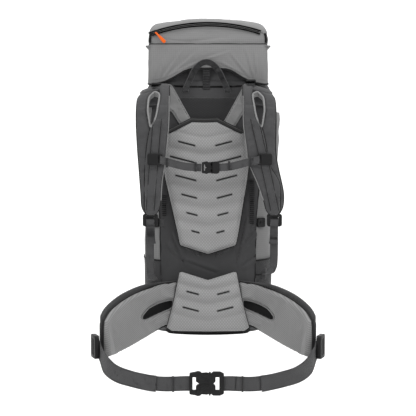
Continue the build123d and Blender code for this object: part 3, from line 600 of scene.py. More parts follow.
def vertex_places(mesh: bpy.types.Mesh) -> np.ndarray:
    """Places of a mesh's points, in its own units."""
    points = np.empty(len(mesh.vertices) * 3)
    mesh.vertices.foreach_get("co", points)
    return points.reshape(-1, 3)


def reshape(piece: bpy.types.Object, change: Callable[[np.ndarray], np.ndarray]) -> None:
    """Move a piece's points by a function of their places.

    Args:
        piece: The piece.
        change: Function from places in millimetres to new ones.
    """
    places = (vertex_places(piece.data) - DATUM.shift) / MM
    piece.data.vertices.foreach_set("co", DATUM.metres(change(places)).ravel())
    piece.data.update()


def weld(piece: bpy.types.Object, distance: float) -> None:
    """Merge the points of a piece that lie within a distance in millimetres, and turn faces outwards."""
    with editing(piece.data) as work:
        bmesh.ops.remove_doubles(work, verts=work.verts, dist=distance * MM)


def ring_grid(name: str, rings: np.ndarray, uv: np.ndarray | None = None, cap: bool = True,
              sharp: float | None = None) -> bpy.types.Object:
    """Skin rings of points that close on themselves.

    Args:
        name: Name of the piece.
        rings: Array of rings, points in a ring, 3.
        uv: Flat places of the same shape, but 2 last.
        cap: Whether the first and last rings are closed with a face.
        sharp: Angle in degrees past which edges stay sharp.

    Returns:
        The new object.
    """
    count, around, _ = rings.shape
    faces = []
    for i in range(count - 1):
        for j in range(around):
            k = (j + 1) % around
            faces.append([i * around + j, i * around + k, (i + 1) * around + k, (i + 1) * around + j])
    if cap:
        faces.append(list(range(around))[::-1])
        faces.append([(count - 1) * around + j for j in range(around)])
    flat = None if uv is None else uv.reshape(-1, 2)
    return make_object(name, rings.reshape(-1, 3), faces, flat, sharp)


def open_grid(name: str, rows: np.ndarray, uv: np.ndarray | None = None,
              thick: float = 0.0) -> bpy.types.Object:
    """Skin an open sheet of rows of points, with a Solidify wall if it has a thickness.

    Args:
        name: Name of the piece.
        rows: Array of rows, points in a row, 3.
        uv: Flat places of the same shape, but 2 last.
        thick: Wall in millimetres, half of it on each side; 0 for none.

    Returns:
        The new object.
    """
    count, across, _ = rows.shape
    faces = []
    for i in range(count - 1):
        for j in range(across - 1):
            faces.append([i * across + j, i * across + j + 1, (i + 1) * across + j + 1,
                          (i + 1) * across + j])
    made = make_object(name, rows.reshape(-1, 3), faces, None if uv is None else uv.reshape(-1, 2))
    if thick:
        add_wall(made, thick, even_offset=True)
    return made


def ribbon(name: str, points: Sequence[Sequence[float]], width: float, thick: float,
           across: Sequence[Sequence[float]] = ALONG_X, step: float = 3.0,
           ripple: float = 0.0) -> bpy.types.Object:
    """Make a flat woven strap along a path, with soft edges and a UV map along it.

    Args:
        name: Name of the piece.
        points: Path of its middle, in millimetres.
        width: Width.
        thick: Thickness.
        across: Direction of its width, one for each point of the path or one for all.
        step: Distance between its cross-sections.
        ripple: Height of small waves across the strap.

    Returns:
        The new object.
    """
    control = np.asarray(points, float)
    wide = np.asarray(across, float)
    if len(wide) == 1:
        wide = np.repeat(wide, len(control), axis=0)
    path = smooth_path(np.hstack([control, wide]), step)
    line, wide = path[:, :3], path[:, 3:]
    along = directions(line)
    wide = wide - along * np.sum(wide * along, axis=1)[:, None]
    wide /= np.linalg.norm(wide, axis=1)[:, None]
    up = np.cross(along, wide)
    length = lengths(line)
    half, soft = width / 2, min(thick / 2, width / 4)
    section = []
    for sx, sy in ((-1, -1), (1, -1), (1, 1), (-1, 1)):
        for share in (0.0, 0.5, 1.0):
            turn = math.pi / 2 * (share if sx * sy > 0 else 1 - share)
            section.append((sx * (half - soft + soft * math.sin(turn)),
                            sy * (thick / 2 - soft + soft * math.cos(turn))))
    section = np.array(section)
    fill = []
    for i, here in enumerate(section):
        after = section[(i + 1) % len(section)]
        count = max(1, int(abs(after[0] - here[0]) / (width / 8)))
        for k in range(count):
            fill.append(here + (after - here) * k / count)
    section = np.array(fill)
    waves = ripple * np.sin(length / 9.0)[:, None] * np.cos(section[:, 0] / half * 2.0 + 0.6)[None, :]
    rings = (line[:, None, :] + wide[:, None, :] * section[None, :, :1]
             + up[:, None, :] * (section[None, :, 1] + waves)[:, :, None])
    uv = np.stack([np.repeat(length[:, None], len(section), axis=1),
                   np.repeat(section[None, :, 0], len(line), axis=0)], axis=2)
    return ring_grid(name, rings, uv)


def edge_distance(points: np.ndarray, outline: np.ndarray) -> np.ndarray:
    """Distance of points to the nearest side of a closed outline."""
    best = np.full(len(points), 1e9)
    for a, b in zip(outline, np.roll(outline, -1, axis=0)):
        side = b - a
        share = np.clip(((points - a) @ side) / max(side @ side, 1e-12), 0, 1)
        gap = np.linalg.norm(points - a - share[:, None] * side, axis=1)
        best = np.minimum(best, gap)
    return best


def inside(points: np.ndarray, outline: np.ndarray) -> np.ndarray:
    """Whether points lie inside a closed outline."""
    hit = np.zeros(len(points), bool)
    for a, b in zip(outline, np.roll(outline, -1, axis=0)):
        crosses = (a[1] > points[:, 1]) != (b[1] > points[:, 1])
        rise = b[1] - a[1]
        at = (b[0] - a[0]) * (points[:, 1] - a[1]) / (rise if abs(rise) > 1e-12 else 1e-12) + a[0]
        hit ^= crosses & (points[:, 0] < at)
    return hit


@dataclass
class Pillow:
    """Padded piece cut from a flat outline: a crowned face, sewn details and a flatter back."""

    name: str
    outline: np.ndarray
    thick: float
    place: Profile2
    holes: Sequence[np.ndarray] = ()
    round_edge: float = 8.0
    back: float = 0.15
    step: float = 3.0
    relief: Profile2 | None = None
    # Slit mask: it sinks the face by slit_depth and is kept as a point attribute that the fabric paints
    # near-black, a painted shade in the cuts.
    slit_shade: Profile2 | None = None
    slit_depth: float = 4.0

    def build(self) -> bpy.types.Object:
        """Triangulate the outline, raise its face and close it with its back.

        Returns:
            A closed mesh whose UV map is the flat pattern.
        """
        rings = [self.outline, *self.holes]
        low, high = self.outline.min(axis=0), self.outline.max(axis=0)
        across = np.arange(low[0] + self.step / 2, high[0], self.step)
        upward = np.arange(low[1] + self.step / 2, high[1], self.step)
        grid = np.array(np.meshgrid(across, upward)).reshape(2, -1).T
        grid = grid[inside(grid, self.outline)]
        keep = edge_distance(grid, self.outline) > self.step * 0.55
        for hole in self.holes:
            keep &= ~inside(grid, hole) & (edge_distance(grid, hole) > self.step * 0.55)
        grid = grid[keep]
        flat, edges = [], []
        for ring in rings:
            start = len(flat)
            flat.extend(ring.tolist())
            edges.extend([(start + i, start + (i + 1) % len(ring)) for i in range(len(ring))])
        flat.extend(grid.tolist())
        cut = geometry.delaunay_2d_cdt([Vector(p) for p in flat], edges, [], 1, 1e-5)
        points = np.array([tuple(p) for p in cut[0]])
        faces = np.array([list(f) for f in cut[2]])
        middle = points[faces].mean(axis=1)
        for hole in self.holes:
            faces = faces[~inside(middle, hole)]
            middle = points[faces].mean(axis=1)
        gap = edge_distance(points, self.outline)
        for hole in self.holes:
            gap = np.minimum(gap, edge_distance(points, hole))
        rim = gap < 1e-3
        rise = np.sqrt(np.clip(1 - (1 - np.clip(gap / self.round_edge, 0, 1)) ** 2, 0, 1))
        front = self.thick * (1 - self.back) * rise
        if self.relief is not None:
            front = front + self.relief(points[:, 0], points[:, 1]) * rise
        # Painted shade: the slit mask goes on the face's points as an attribute that the fabric darkens.
        dark = np.zeros(len(points))
        if self.slit_shade is not None:
            dark = self.slit_shade(points[:, 0], points[:, 1])
            front = front - self.slit_depth * dark
        rear = -self.thick * self.back * rise
        count = len(points)
        rear_index = np.arange(count) + count
        rear_index[rim] = np.arange(count)[rim]
        places = np.vstack([self.place(points, front), self.place(points, rear)])
        flipped = rear_index[faces][:, ::-1]
        all_faces = faces.tolist() + flipped.tolist()
        made = make_object(self.name, places, all_faces, np.vstack([points, points]))
        attribute = made.data.attributes.new("slit_shade", "FLOAT", "POINT")
        attribute.data.foreach_set("value", np.concatenate([dark, np.zeros(count)]))
        with editing(made.data) as work:
            bmesh.ops.delete(work, geom=[v for v in work.verts if not v.link_faces], context="VERTS")
        return made


# Light coated cloth, a little larger than its pattern and blown up from inside.
CLOTH = {"quality": 4, "mass": 0.2, "tension_stiffness": 12.0, "compression_stiffness": 12.0,
         "bending_stiffness": 0.4, "shrink_min": -0.02, "vertex_group_mass": "sewn", "use_pressure": True}
SEAM_ANGLE = 0.9        # radians between two faces, past which their edge is a sewn one


def settle(piece: bpy.types.Object, cap: float, frames: int = 12, pressure: float = 4.0) -> None:
    """Let a padded piece settle as cloth under air pressure, held where it is sewn.

    The pattern's UV map and faces stay; only the points move.

    Args:
        piece: Closed padded piece, still without modifiers.
        cap: Largest movement in millimetres.
        frames: Frames of the simulation.
        pressure: Air pressure inside the piece.
    """
    work = bmesh.new()
    work.from_mesh(piece.data)
    work.verts.ensure_lookup_table()
    sewn = [v.index for v in work.verts
            if any(e.is_manifold and e.calc_face_angle(0.0) > SEAM_ANGLE for e in v.link_edges)]
    work.free()
    copy = piece.copy()
    copy.data = piece.data.copy()
    bpy.context.scene.collection.objects.link(copy)
    group = copy.vertex_groups.new(name="sewn")
    group.add(sewn, 1.0, "REPLACE")
    cloth = copy.modifiers.new("settle", "CLOTH")
    for key, value in CLOTH.items():
        setattr(cloth.settings, key, value)
    cloth.settings.uniform_pressure_force = pressure
    cloth.settings.effector_weights.gravity = 0.0
    cloth.collision_settings.use_collision = False
    cloth.point_cache.frame_start = 1
    cloth.point_cache.frame_end = frames
    scene = bpy.context.scene
    for frame in range(1, frames + 1):
        scene.frame_set(frame)
    settled = copy.evaluated_get(bpy.context.evaluated_depsgraph_get()).to_mesh()
    before = vertex_places(piece.data)
    move = vertex_places(settled) - before
    size = np.maximum(np.linalg.norm(move, axis=1), 1e-9)
    move *= np.minimum(size, cap * MM)[:, None] / size[:, None]
    piece.data.vertices.foreach_set("co", (before + move).ravel())
    piece.data.update()
    bpy.data.objects.remove(copy)
    scene.frame_set(1)
    LOG.info("%s settled by up to %.1f mm", piece.name, min(size.max() / MM, cap))


# ---------------------------------------------------------------------------------------- repeats
class Beads:
    """Geometry Nodes tree that sets small rounded shapes at even steps along curves."""

    def __init__(self) -> None:
        """Build the tree once; its inputs are spacing, size, facing and material."""
        group = bpy.data.node_groups.new("Beads_along_curve", "GeometryNodeTree")
        face = group.interface
        face.new_socket(name="Curves", in_out="INPUT", socket_type="NodeSocketGeometry")
        self.keys = {}
        for name, kind, default in (("Spacing", "NodeSocketFloat", 0.003),
                                    ("Size", "NodeSocketVector", (0.001, 0.001, 0.002)),
                                    ("Facing", "NodeSocketVector", (0.0, -1.0, 0.0)),
                                    ("Material", "NodeSocketMaterial", None)):
            socket = face.new_socket(name=name, in_out="INPUT", socket_type=kind)
            if default is not None:
                socket.default_value = default
            self.keys[name] = socket.identifier
        face.new_socket(name="Beads", in_out="OUTPUT", socket_type="NodeSocketGeometry")
        source = add(group, "NodeGroupInput").outputs
        spread = add(group, "GeometryNodeCurveToPoints", {"mode": "LENGTH"},
                     {"Curve": source["Curves"], "Length": source["Spacing"]})
        turn = add(group, "FunctionNodeAxesToRotation", {"primary_axis": "Z", "secondary_axis": "Y"},
                   {0: spread.outputs["Tangent"], 1: source["Facing"]})
        bead = add(group, "GeometryNodeMeshUVSphere", {"Segments": 6, "Rings": 4, "Radius": 0.5})
        copies = add(group, "GeometryNodeInstanceOnPoints",
                     links={"Points": spread.outputs["Points"], "Instance": bead.outputs["Mesh"],
                            "Rotation": turn.outputs[0], "Scale": source["Size"]})
        real = add(group, "GeometryNodeRealizeInstances", links={0: copies.outputs[0]})
        shade = add(group, "GeometryNodeSetMaterial",
                    links={"Geometry": real.outputs[0], "Material": source["Material"]})
        add(group, "NodeGroupOutput", links={0: shade.outputs[0]})
        self.group = group

    def along(self, name: str, paths: Sequence[np.ndarray], spacing: float, size: Point3,
              facing: Point3, material: bpy.types.Material) -> bpy.types.Object:
        """Set beads along paths and turn the result into a plain mesh.

        Args:
            name: Name of the piece.
            paths: Lines in millimetres.
            spacing: Step in millimetres.
            size: Bead across the line, out of the surface and along the line, in millimetres.
            facing: Direction out of the surface.
            material: Finish of the beads.

        Returns:
            The beads as one mesh.
        """
        curve = bpy.data.curves.new(name + "_line", "CURVE")
        curve.dimensions = "3D"
        add_lines(curve, [DATUM.metres(path) for path in paths])
        holder = bpy.data.objects.new(name + "_line", curve)
        bpy.context.scene.collection.objects.link(holder)
        live = holder.modifiers.new("beads", "NODES")
        live.node_group = self.group
        live[self.keys["Spacing"]] = spacing * MM
        live[self.keys["Size"]] = tuple(s * MM for s in size)
        live[self.keys["Facing"]] = facing
        live[self.keys["Material"]] = material
        graph = bpy.context.evaluated_depsgraph_get()
        mesh = bpy.data.meshes.new_from_object(holder.evaluated_get(graph))
        bpy.data.objects.remove(holder)
        mesh.shade_smooth()
        made = bpy.data.objects.new(name, mesh)
        bpy.context.scene.collection.objects.link(made)
        return made


def bump(at: np.ndarray, width: float) -> np.ndarray:
    """Bell curve, 1 at 0 and nearly 0 past twice the width."""
    return np.exp(-(at / width) ** 2)


def crumple(points: np.ndarray, size: float, seed: float) -> np.ndarray:
    """Unevenness of cloth from -1 to 1, with folds about a size in millimetres apart."""
    scale = 1.0 / size
    return np.array([noise.noise(Vector((x * scale + seed, y * scale, z * scale * 0.8 - seed)))
                     for x, y, z in points])


def push_out(rows: np.ndarray, amount: np.ndarray, outward: Point3) -> np.ndarray:
    """Move a grid's points along its normals.

    Args:
        rows: Grid of points.
        amount: Distance for each point.
        outward: A direction that the middle of the grid faces, to choose the normals' side.

    Returns:
        The moved grid.
    """
    du = np.gradient(rows, axis=0)
    dv = np.gradient(rows, axis=1)
    normal = np.cross(du, dv)
    normal /= np.maximum(np.linalg.norm(normal, axis=2), 1e-9)[:, :, None]
    middle = normal[rows.shape[0] // 2, rows.shape[1] // 2]
    if np.dot(middle, outward) < 0:
        normal = -normal
    return rows + normal * amount[:, :, None]


@dataclass
class Part:
    """Sub-assembly with its finishes and its maker of stitches."""

    palette: Palette
    beads: Beads


# ---------------------------------------------------------------------------------------- bag
@dataclass
class BagBody(Part):
    """Lofted shell of the bag: back, sides, front and bottom panels with their seams."""

    heights: tuple[float, ...] = (0.0, 16.0, 42.0, 300.0, 530.0, 600.0, 640.0)
    widths: tuple[float, ...] = (272.0, 291.0, 300.0, 310.0, 354.0, 338.0, 292.0)
    backs: tuple[float, ...] = (8.0, 2.5, 0.0, 0.0, 0.0, 0.0, 0.0)
    fronts: tuple[float, ...] = (232.0, 246.0, 254.0, 268.0, 274.0, 266.0, 262.0)
    corner: float = 60.0
    back_seam: float = 7.0
    front_seam: float = 205.0
    wall: float = 2.0
    strap_heights: tuple[float, float] = (282.0, 520.0)
    pull_in: float = 4.0
    fullness: float = 11.0
    dark_above: float = 575.0

    def half_contour(self, z: float) -> np.ndarray:
        """Right half of the bag's outline at a height, from the back's middle to the front's."""
        half = float(np.interp(z, self.heights, self.widths)) / 2
        back = float(np.interp(z, self.heights, self.backs))
        front = float(np.interp(z, self.heights, self.fronts))
        turn = np.linspace(0, math.pi / 2, 24)
        rear = np.column_stack([half - self.corner + self.corner * np.sin(turn),
                                back + self.corner - self.corner * np.cos(turn)])
        fore = np.column_stack([half - self.corner + self.corner * np.cos(turn),
                                front - self.corner + self.corner * np.sin(turn)])
        return np.vstack([[[0.0, back]], rear, fore, [[0.0, front]]])

    def strip(self, low: float, high: float, part: str, count: int, step: float) -> np.ndarray:
        """Rows of points of one panel on the right half, or the whole back or front.

        Args:
            low: Lowest height.
            high: Highest height.
            part: back, side or front.
            count: Points across the strip.
            step: Distance between rows.

        Returns:
            Grid of rows of points.
        """
        rows = []
        for z in np.linspace(low, high, int((high - low) / step) + 1):
            line = even(self.half_contour(z), 1.0)
            line = np.column_stack([line, np.full(len(line), z)])
            split = {"back": line[line[:, 1] <= self.back_seam + 0.5],
                     "side": line[(line[:, 1] >= self.back_seam - 0.5)
                                  & (line[:, 1] <= self.front_seam + 0.5)],
                     "front": line[line[:, 1] >= self.front_seam - 0.5]}[part]
            if part != "side":
                other = split[::-1] * np.array([-1.0, 1.0, 1.0])
                split = np.vstack([other[:-1], split]) if part == "back" else \
                    np.vstack([split, other[1:]])
            length = lengths(split)
            at = np.linspace(0, length[-1], count)
            rows.append(np.column_stack([np.interp(at, length, split[:, k]) for k in range(3)]))
        return np.array(rows)

    def soft(self, rows: np.ndarray, seed: float) -> np.ndarray:
        """How far the cloth stands out of its lofted form at each point."""
        flat = rows.reshape(-1, 3)
        folds = 2.2 * crumple(flat, 46.0, seed) + 0.9 * crumple(flat, 15.0, seed + 7)
        z = flat[:, 2]
        side = np.clip((np.abs(flat[:, 0]) - 110) / 30, 0, 1)
        for height in self.strap_heights:
            folds = folds - self.pull_in * bump(z - height, 18.0) * side
        return folds.reshape(rows.shape[:2])

    def back_creases(self, rows: np.ndarray) -> np.ndarray:
        """Sewn lines and folds of the dark back panel below the back pad."""
        x, z = rows[:, :, 0], rows[:, :, 2]
        amount = np.zeros_like(x)
        for ends in ((-112.0, 228.0, -76.0, 190.0), (-76.0, 190.0, 28.0, 152.0),
                     (124.0, 268.0, 77.0, 208.0), (126.0, 200.0, 82.0, 168.0),
                     (-96.0, 262.0, -58.0, 168.0), (96.0, 300.0, 70.0, 170.0)):
            off, reach = crease(x, z, ends, 12.0)
            amount = amount - 3.2 * bump(off, 3.0) * reach + 2.4 * bump(off - 7, 5.0) * reach
        return amount

    def build(self) -> None:
        """Make the panels and their seams."""
        palette = self.palette
        back = self.strip(42.0, 640.0, "back", 120, 4.0)
        back = push_out(back, np.clip(self.soft(back, 3.0) * 0.7 + self.back_creases(back), -4, 3.2),
                        REARWARD)
        back_piece = open_grid("back_cloth", back, thick=self.wall)
        finish(back_piece, palette.dark, "root", ["back_panel"])
        front = self.strip(42.0, 640.0, "front", 130, 5.0)
        zip_z = np.mean(DATUM.box("front_zip_tape"), axis=0)[2]
        calm = 1.0 - bump(front[:, :, 2] - zip_z, 22.0)
        front = push_out(front, self.soft(front, 11.0) * calm - 0.6, FORWARD)
        finish(open_grid("front_cloth", front, thick=self.wall), palette.dark, "root",
               ["front_panel"])
        for side, name in SIDES:
            rows = self.strip(42.0, 640.0, "side", 70, 4.0)
            depth = np.clip((rows[:, :, 1] - self.back_seam) / (self.front_seam - self.back_seam), 0, 1)
            full = self.fullness * np.sin(math.pi * depth) ** 0.7 * (rows[:, :, 2] < 560.0)
            rows = push_out(rows, self.soft(rows, 20.0 + side) + full, RIGHTWARD)
            rows = rows * np.array([side, 1.0, 1.0])
            split = int(np.searchsorted(rows[:, 0, 2], self.dark_above))
            piece = open_grid(name + "_side_cloth", rows[:split + 1], thick=self.wall)
            finish(piece, palette.ripstop, "root", [name + "_side_panel"])
            rim = open_grid(name + "_side_top_cloth", rows[split:], thick=self.wall)
            finish(rim, palette.dark, "root")
            for column, edge in ((0, "rear"), (-1, "front")):
                line = rows[:, column]
                seam = from_curve(f"{name}_{edge}_seam", [line], radius=2.0)
                finish(seam, palette.binding, "root")
        self.bottom()
        self.collar()

    def collar(self) -> None:
        """Make the dark collar that rises from the bag's rim under the lid."""
        top = DATUM.box("collar")[1][2]
        line = even(self.half_contour(638.0), 6.0)
        ring = np.vstack([line, (line[::-1] * np.array([-1.0, 1.0]))[1:]])
        middle = np.array([0.0, 131.0])
        rows = []
        for share in np.linspace(0, 1, 14):
            shrunk = middle + (ring - middle) * (0.985 - 0.06 * share)
            rows.append(np.column_stack([shrunk, np.full(len(ring), 638.0 + (top - 638.0) * share)]))
        rows = np.array(rows)
        folds = 1.2 * crumple(rows.reshape(-1, 3), 24.0, 31.0).reshape(rows.shape[:2])
        folds[:, 0] = folds[:, -1]
        rows = push_out(rows, folds, FORWARD)
        finish(open_grid("collar_cloth", rows, thick=0.8), self.palette.dark, "root",
               ["collar"])

    def bottom(self) -> None:
        """Make the bottom panel as a shallow tray that closes the bag."""
        rings = []
        for z in (42.0, 30.0, 20.0, 12.0, 6.0, 2.0, 0.5):
            line = even(self.half_contour(z), 6.0)[:-1]
            half = len(line)
            at = np.linspace(0, 1, 56, endpoint=True)
            grown = np.column_stack([np.interp(at, np.linspace(0, 1, half), line[:, k]) for k in (0, 1)])
            ring = np.vstack([grown, (grown[::-1] * np.array([-1.0, 1.0]))[1:-1]])
            rings.append(np.column_stack([ring, np.full(len(ring), z)]))
        centre = np.array([0.0, 120.0, 0.0])
        for share in (0.9, 0.7, 0.4, 0.1):
            ring = centre + (rings[6] - centre) * share
            ring[:, 2] = 0.5 + 1.2 * (1 - share)
            rings.append(ring)
        wall = ring_grid("bottom_cloth", np.array(rings), cap=False)
        limit = DATUM.place(0, 0, 20).z
        close_opening(wall, lambda height: height < limit)
        add_wall(wall, self.wall)
        finish(wall, self.palette.dark, "root", ["bottom_panel"])


# ---------------------------------------------------------------------------------------- lid
@dataclass
class Lid(Part):
    """Lid with its pocket, zip, skirt and the static flap at its rear."""

    half: float = 148.5
    back: float = -14.0
    front: float = 294.0
    seam: float = 733.0
    hem: float = 641.0
    corner_back: float = 14.0
    corner_front: float = 70.0
    rise: tuple[tuple[float, ...], ...] = ((-14.0, 754.0, 770.0, 783.0), (20.0, 760.0, 784.0, 797.0),
                                           (140.0, 766.0, 793.0, 806.0), (230.0, 758.0, 784.0, 797.0),
                                           (294.0, 741.0, 754.0, 762.0))
    corner_in: float = 20.0
    zip_radius: float = 433.0
    zip_crown: float = 781.0
    zip_half_angle: float = 19.3
    wall: float = 2.0

    def plan(self, inset: float, count: int = 220) -> np.ndarray:
        """Rounded outline of the lid from above, starting at the middle of its rear edge."""
        half, back, front = self.half - inset, self.back + inset, self.front - inset
        rear, fore = max(self.corner_back - inset, 2.0), max(self.corner_front - inset, 20.0)
        turn = np.linspace(0, math.pi / 2, 16)
        right = np.vstack([
            [[0.0, back]],
            np.column_stack([half - rear + rear * np.sin(turn), back + rear - rear * np.cos(turn)]),
            np.column_stack([half - fore + fore * np.cos(turn), front - fore + fore * np.sin(turn)]),
            [[0.0, front]]])
        ring = np.vstack([right, right[::-1][1:-1] * np.array([-1.0, 1.0])])
        ring = even(np.vstack([ring, ring[:1]]), 1.0)
        at = np.linspace(0, len(ring) - 1, count, endpoint=False)
        return np.column_stack([np.interp(at, np.arange(len(ring)), ring[:, k]) for k in (0, 1)])

    def levels(self, y: np.ndarray) -> tuple[np.ndarray, np.ndarray, np.ndarray]:
        """Height of the side, the corner and the crown of the lid's cross-section."""
        table = np.array(self.rise)
        return tuple(np.interp(y, table[:, 0], table[:, k]) for k in (1, 2, 3))

    def top(self) -> np.ndarray:
        """Rings of the lid pocket from its seam up to the middle of its crown."""
        rings = []
        edge = self.plan(0.0)
        side, _, _ = self.levels(edge[:, 1])
        for share in np.linspace(0, 1, 12):
            bulge = 1.5 * math.sin(math.pi * share) ** 0.8
            ring = self.plan(-bulge)
            rings.append(np.column_stack([ring, self.seam + (side - 4 - self.seam) * share]))
        for inset in (0.8, 2.5, 5.0, 8.0, 12.0, 16.0, 20.0, 26.0, 34.0, 44.0, 58.0, 74.0, 92.0, 112.0):
            ring = self.plan(inset)
            side_z, corner_z, crown_z = self.levels(ring[:, 1])
            near = min(inset / self.corner_in, 1.0)
            round_off = math.sqrt(1 - (1 - near) ** 2)
            dome = np.clip(1 - (np.abs(ring[:, 0]) / (self.half - self.corner_in)) ** 2, 0, 1)
            z = side_z + (corner_z - side_z) * round_off + (crown_z - corner_z) * dome * near
            rings.append(np.column_stack([ring, z - 4 * (1 - near)]))
        return np.array(rings)

    def wrinkles(self, rows: np.ndarray) -> np.ndarray:
        """Folds of the stuffed lid: soft dents all over and the creases of its rear face."""
        flat = rows.reshape(-1, 3)
        x, y, z = flat[:, 0], flat[:, 1], flat[:, 2]
        amount = 2.0 * crumple(flat, 60.0, 5.0) + 1.1 * crumple(flat, 22.0, 9.0) \
            + 0.4 * crumple(flat, 8.0, 2.0)
        rear = bump(y - self.back, 24.0)
        arc = self.zip_crown - self.zip_radius + np.sqrt(np.clip(self.zip_radius ** 2 - x ** 2, 0, None))
        amount -= 1.0 * rear * bump(z - arc, 5.0)
        amount += 0.8 * rear * bump(z - arc - 9, 6.0)
        amount -= 1.8 * rear * bump(z - (765 - 0.02 * x - 0.0006 * (x - 40) ** 2), 4.0) \
            * np.clip((x + 10) / 40, 0, 1)
        amount -= 1.4 * rear * bump(z - (744 + 5 * np.sin(x / 34.0)), 3.5) * np.clip((70 - x) / 60, 0, 1)
        return amount.reshape(rows.shape[:2])

    def build(self) -> None:
        """Make the pocket, skirt, flap, zip and pull."""
        rows = self.top()
        closed = np.concatenate([rows, rows[:, :1]], axis=1)
        moved = push_out(closed, self.wrinkles(closed), (0.0, 1.0, 0.2))[:, :-1]
        shell = ring_grid("lid_pocket_cloth", moved, cap=False)
        limit = DATUM.place(0, 0, self.seam + 30).z
        close_opening(shell, lambda height: height > limit)
        add_wall(shell, self.wall)
        finish(shell, self.palette.ripstop, "lid", ["lid_top"])
        self.skirt()
        self.flap()
        self.zip()

    def skirt(self) -> None:
        """Make the skirt round the sides and front, with its elastic hem."""
        ring = self.plan(0.0, 400)
        line = ring[ring[:, 1] > 20.0]
        rows = []
        for z in np.linspace(self.seam, self.hem, 26):
            drop = (self.seam - z) / (self.seam - self.hem)
            grown = line + (line - np.array([0.0, 140.0])) / 180.0 * (3.0 * math.sin(math.pi * drop)
                                                                     - 2.0 * drop)
            rows.append(np.column_stack([grown, np.full(len(line), z)]))
        rows = np.array(rows)
        flat = rows.reshape(-1, 3)
        folds = (1.6 * crumple(flat, 34.0, 4.0) + 0.7 * crumple(flat, 12.0, 6.0)).reshape(rows.shape[:2])
        rows = push_out(rows, folds, FORWARD)
        finish(open_grid("lid_skirt_cloth", rows, thick=1.6), self.palette.ripstop, "lid",
               ["lid_skirt"])
        hem = from_curve("lid_hem_binding", [rows[-1]], radius=2.0)
        finish(hem, self.palette.lining, "lid")
        seam = from_curve("lid_seam_piping", [rows[0]], radius=0.9)
        finish(seam, self.palette.lining, "lid")

    def flap_edge(self, x: np.ndarray) -> np.ndarray:
        """Height of the rear flap's scalloped lower edge."""
        reach = np.abs(x)
        return np.interp(reach, [0.0, 20.0, 46.0, 60.0, 84.0, 104.0, 118.0, 142.0, 160.0, 175.0],
                         [672.0, 672.0, 670.0, 665.0, 650.0, 640.0, 636.0, 632.0, 636.0, 641.0])

    def flap(self) -> None:
        """Make the static rear flap that joins the lid to the bag, with its folds."""
        ring = self.plan(0.0, 500)
        keep = np.where(ring[:, 1] < 21.0)[0]
        split = int(np.where(np.diff(keep) > 1)[0][0]) + 1
        line = ring[np.concatenate([keep[split:], keep[:split]])]
        if line[0, 0] > 0:
            line = line[::-1]
        edge = self.flap_edge(line[:, 0])
        rows = []
        for share in np.linspace(0, 1, 40):
            z = self.seam + (edge - self.seam) * share
            sag = 3.0 * math.sin(math.pi * share)
            rows.append(np.column_stack([line[:, 0] * (1 + 0.012 * share), line[:, 1] - sag, z]))
        rows = np.array(rows)
        x, z = rows[:, :, 0], rows[:, :, 2]
        folds = np.zeros_like(x)
        for *ends, deep in ((-116.0, 640.0, -58.0, 726.0, 2.0), (118.0, 640.0, 92.0, 728.0, 1.9),
                            (108.0, 646.0, 54.0, 712.0, 1.6), (-106.0, 644.0, -28.0, 712.0, 1.5),
                            (-124.0, 640.0, -96.0, 724.0, 1.6), (124.0, 646.0, 116.0, 720.0, 1.6),
                            (-132.0, 640.0, -128.0, 716.0, 1.4), (-20.0, 690.0, 66.0, 716.0, 1.2),
                            (-90.0, 656.0, -10.0, 694.0, 1.2), (92.0, 656.0, 24.0, 692.0, 1.2)):
            off, reach = crease(x, z, ends, 22.0)
            folds = folds + deep * reach * (bump(off, 3.2) - 0.8 * bump(off - 6.0, 4.0))
        flat = rows.reshape(-1, 3)
        folds = folds + (1.0 * crumple(flat, 26.0, 8.0) + 0.5 * crumple(flat, 9.0, 1.0)).reshape(x.shape)
        folds *= np.linspace(0.1, 1.0, 40)[:, None] ** 0.5
        rows = push_out(rows, folds, REARWARD)
        finish(open_grid("rear_flap_cloth", rows, thick=1.6), self.palette.ripstop, "root",
               ["lid_rear_flap"])
        finish(from_curve("rear_flap_binding", [rows[-1]], radius=2.4), self.palette.binding, "root")
        finish(from_curve("rear_seam_piping", [rows[0] - np.array([0.0, 0.8, 0.5])], radius=1.1),
               self.palette.binding, "lid")
        stitches = self.beads.along("rear_flap_stitches", [rows[-5] - np.array([0.0, 1.4, 0.0])], 3.2,
                                    (0.7, 0.7, 2.0), REARWARD, self.palette.thread)
        finish(stitches, self.palette.thread, "root")

    def arc(self, out: float, y: float, half_angle: float, count: int = 90) -> np.ndarray:
        """Points along the zip's arc at a distance outside it."""
        turn = np.radians(np.linspace(-half_angle, half_angle, count))
        radius = self.zip_radius + out
        centre = self.zip_crown - self.zip_radius
        return np.column_stack([radius * np.sin(turn), np.full(count, y), centre + radius * np.cos(turn)])

    def zip(self) -> None:
        """Make the tape, coil, end tabs, slider and orange pull of the pocket's zip."""
        palette = self.palette
        tape = ribbon("lid_zip_tape_cloth", self.arc(0.0, self.back - 2.0, self.zip_half_angle)[::6],
                      2.8, 1.0, ALONG_Z)
        finish(tape, palette.binding, "lid", ["lid_zip_tape"])
        for out, name in ((3.9, "upper"), (-3.9, "lower")):
            welt = ribbon(f"lid_zip_{name}_welt", self.arc(out, self.back - 2.1,
                                                            self.zip_half_angle + 0.6)[::6],
                          4.6, 0.8, ALONG_Z)
            finish(welt, palette.ripstop, "lid")
        coil = self.beads.along("lid_zip_coil", [self.arc(0.0, self.back - 3.0, self.zip_half_angle - 0.8,
                                                         300)], 1.4, (2.2, 1.2, 1.0),
                                REARWARD, palette.coil)
        finish(coil, palette.coil, "lid")
        for side, name in SIDES:
            x = side * self.zip_radius * math.sin(math.radians(self.zip_half_angle))
            z = self.zip_crown - self.zip_radius * (1 - math.cos(math.radians(self.zip_half_angle)))
            tab = ribbon(f"lid_zip_{name}_tab", [(x - side * 2, self.back - 3.0, z + 2),
                                                 (x + side * 1, self.back - 2.4, z - 6),
                                                 (x + side * 2, self.back - 2.4, z - 22)],
                         6.0, 2.0)
            finish(tab, palette.binding, "lid")
        self.pull()

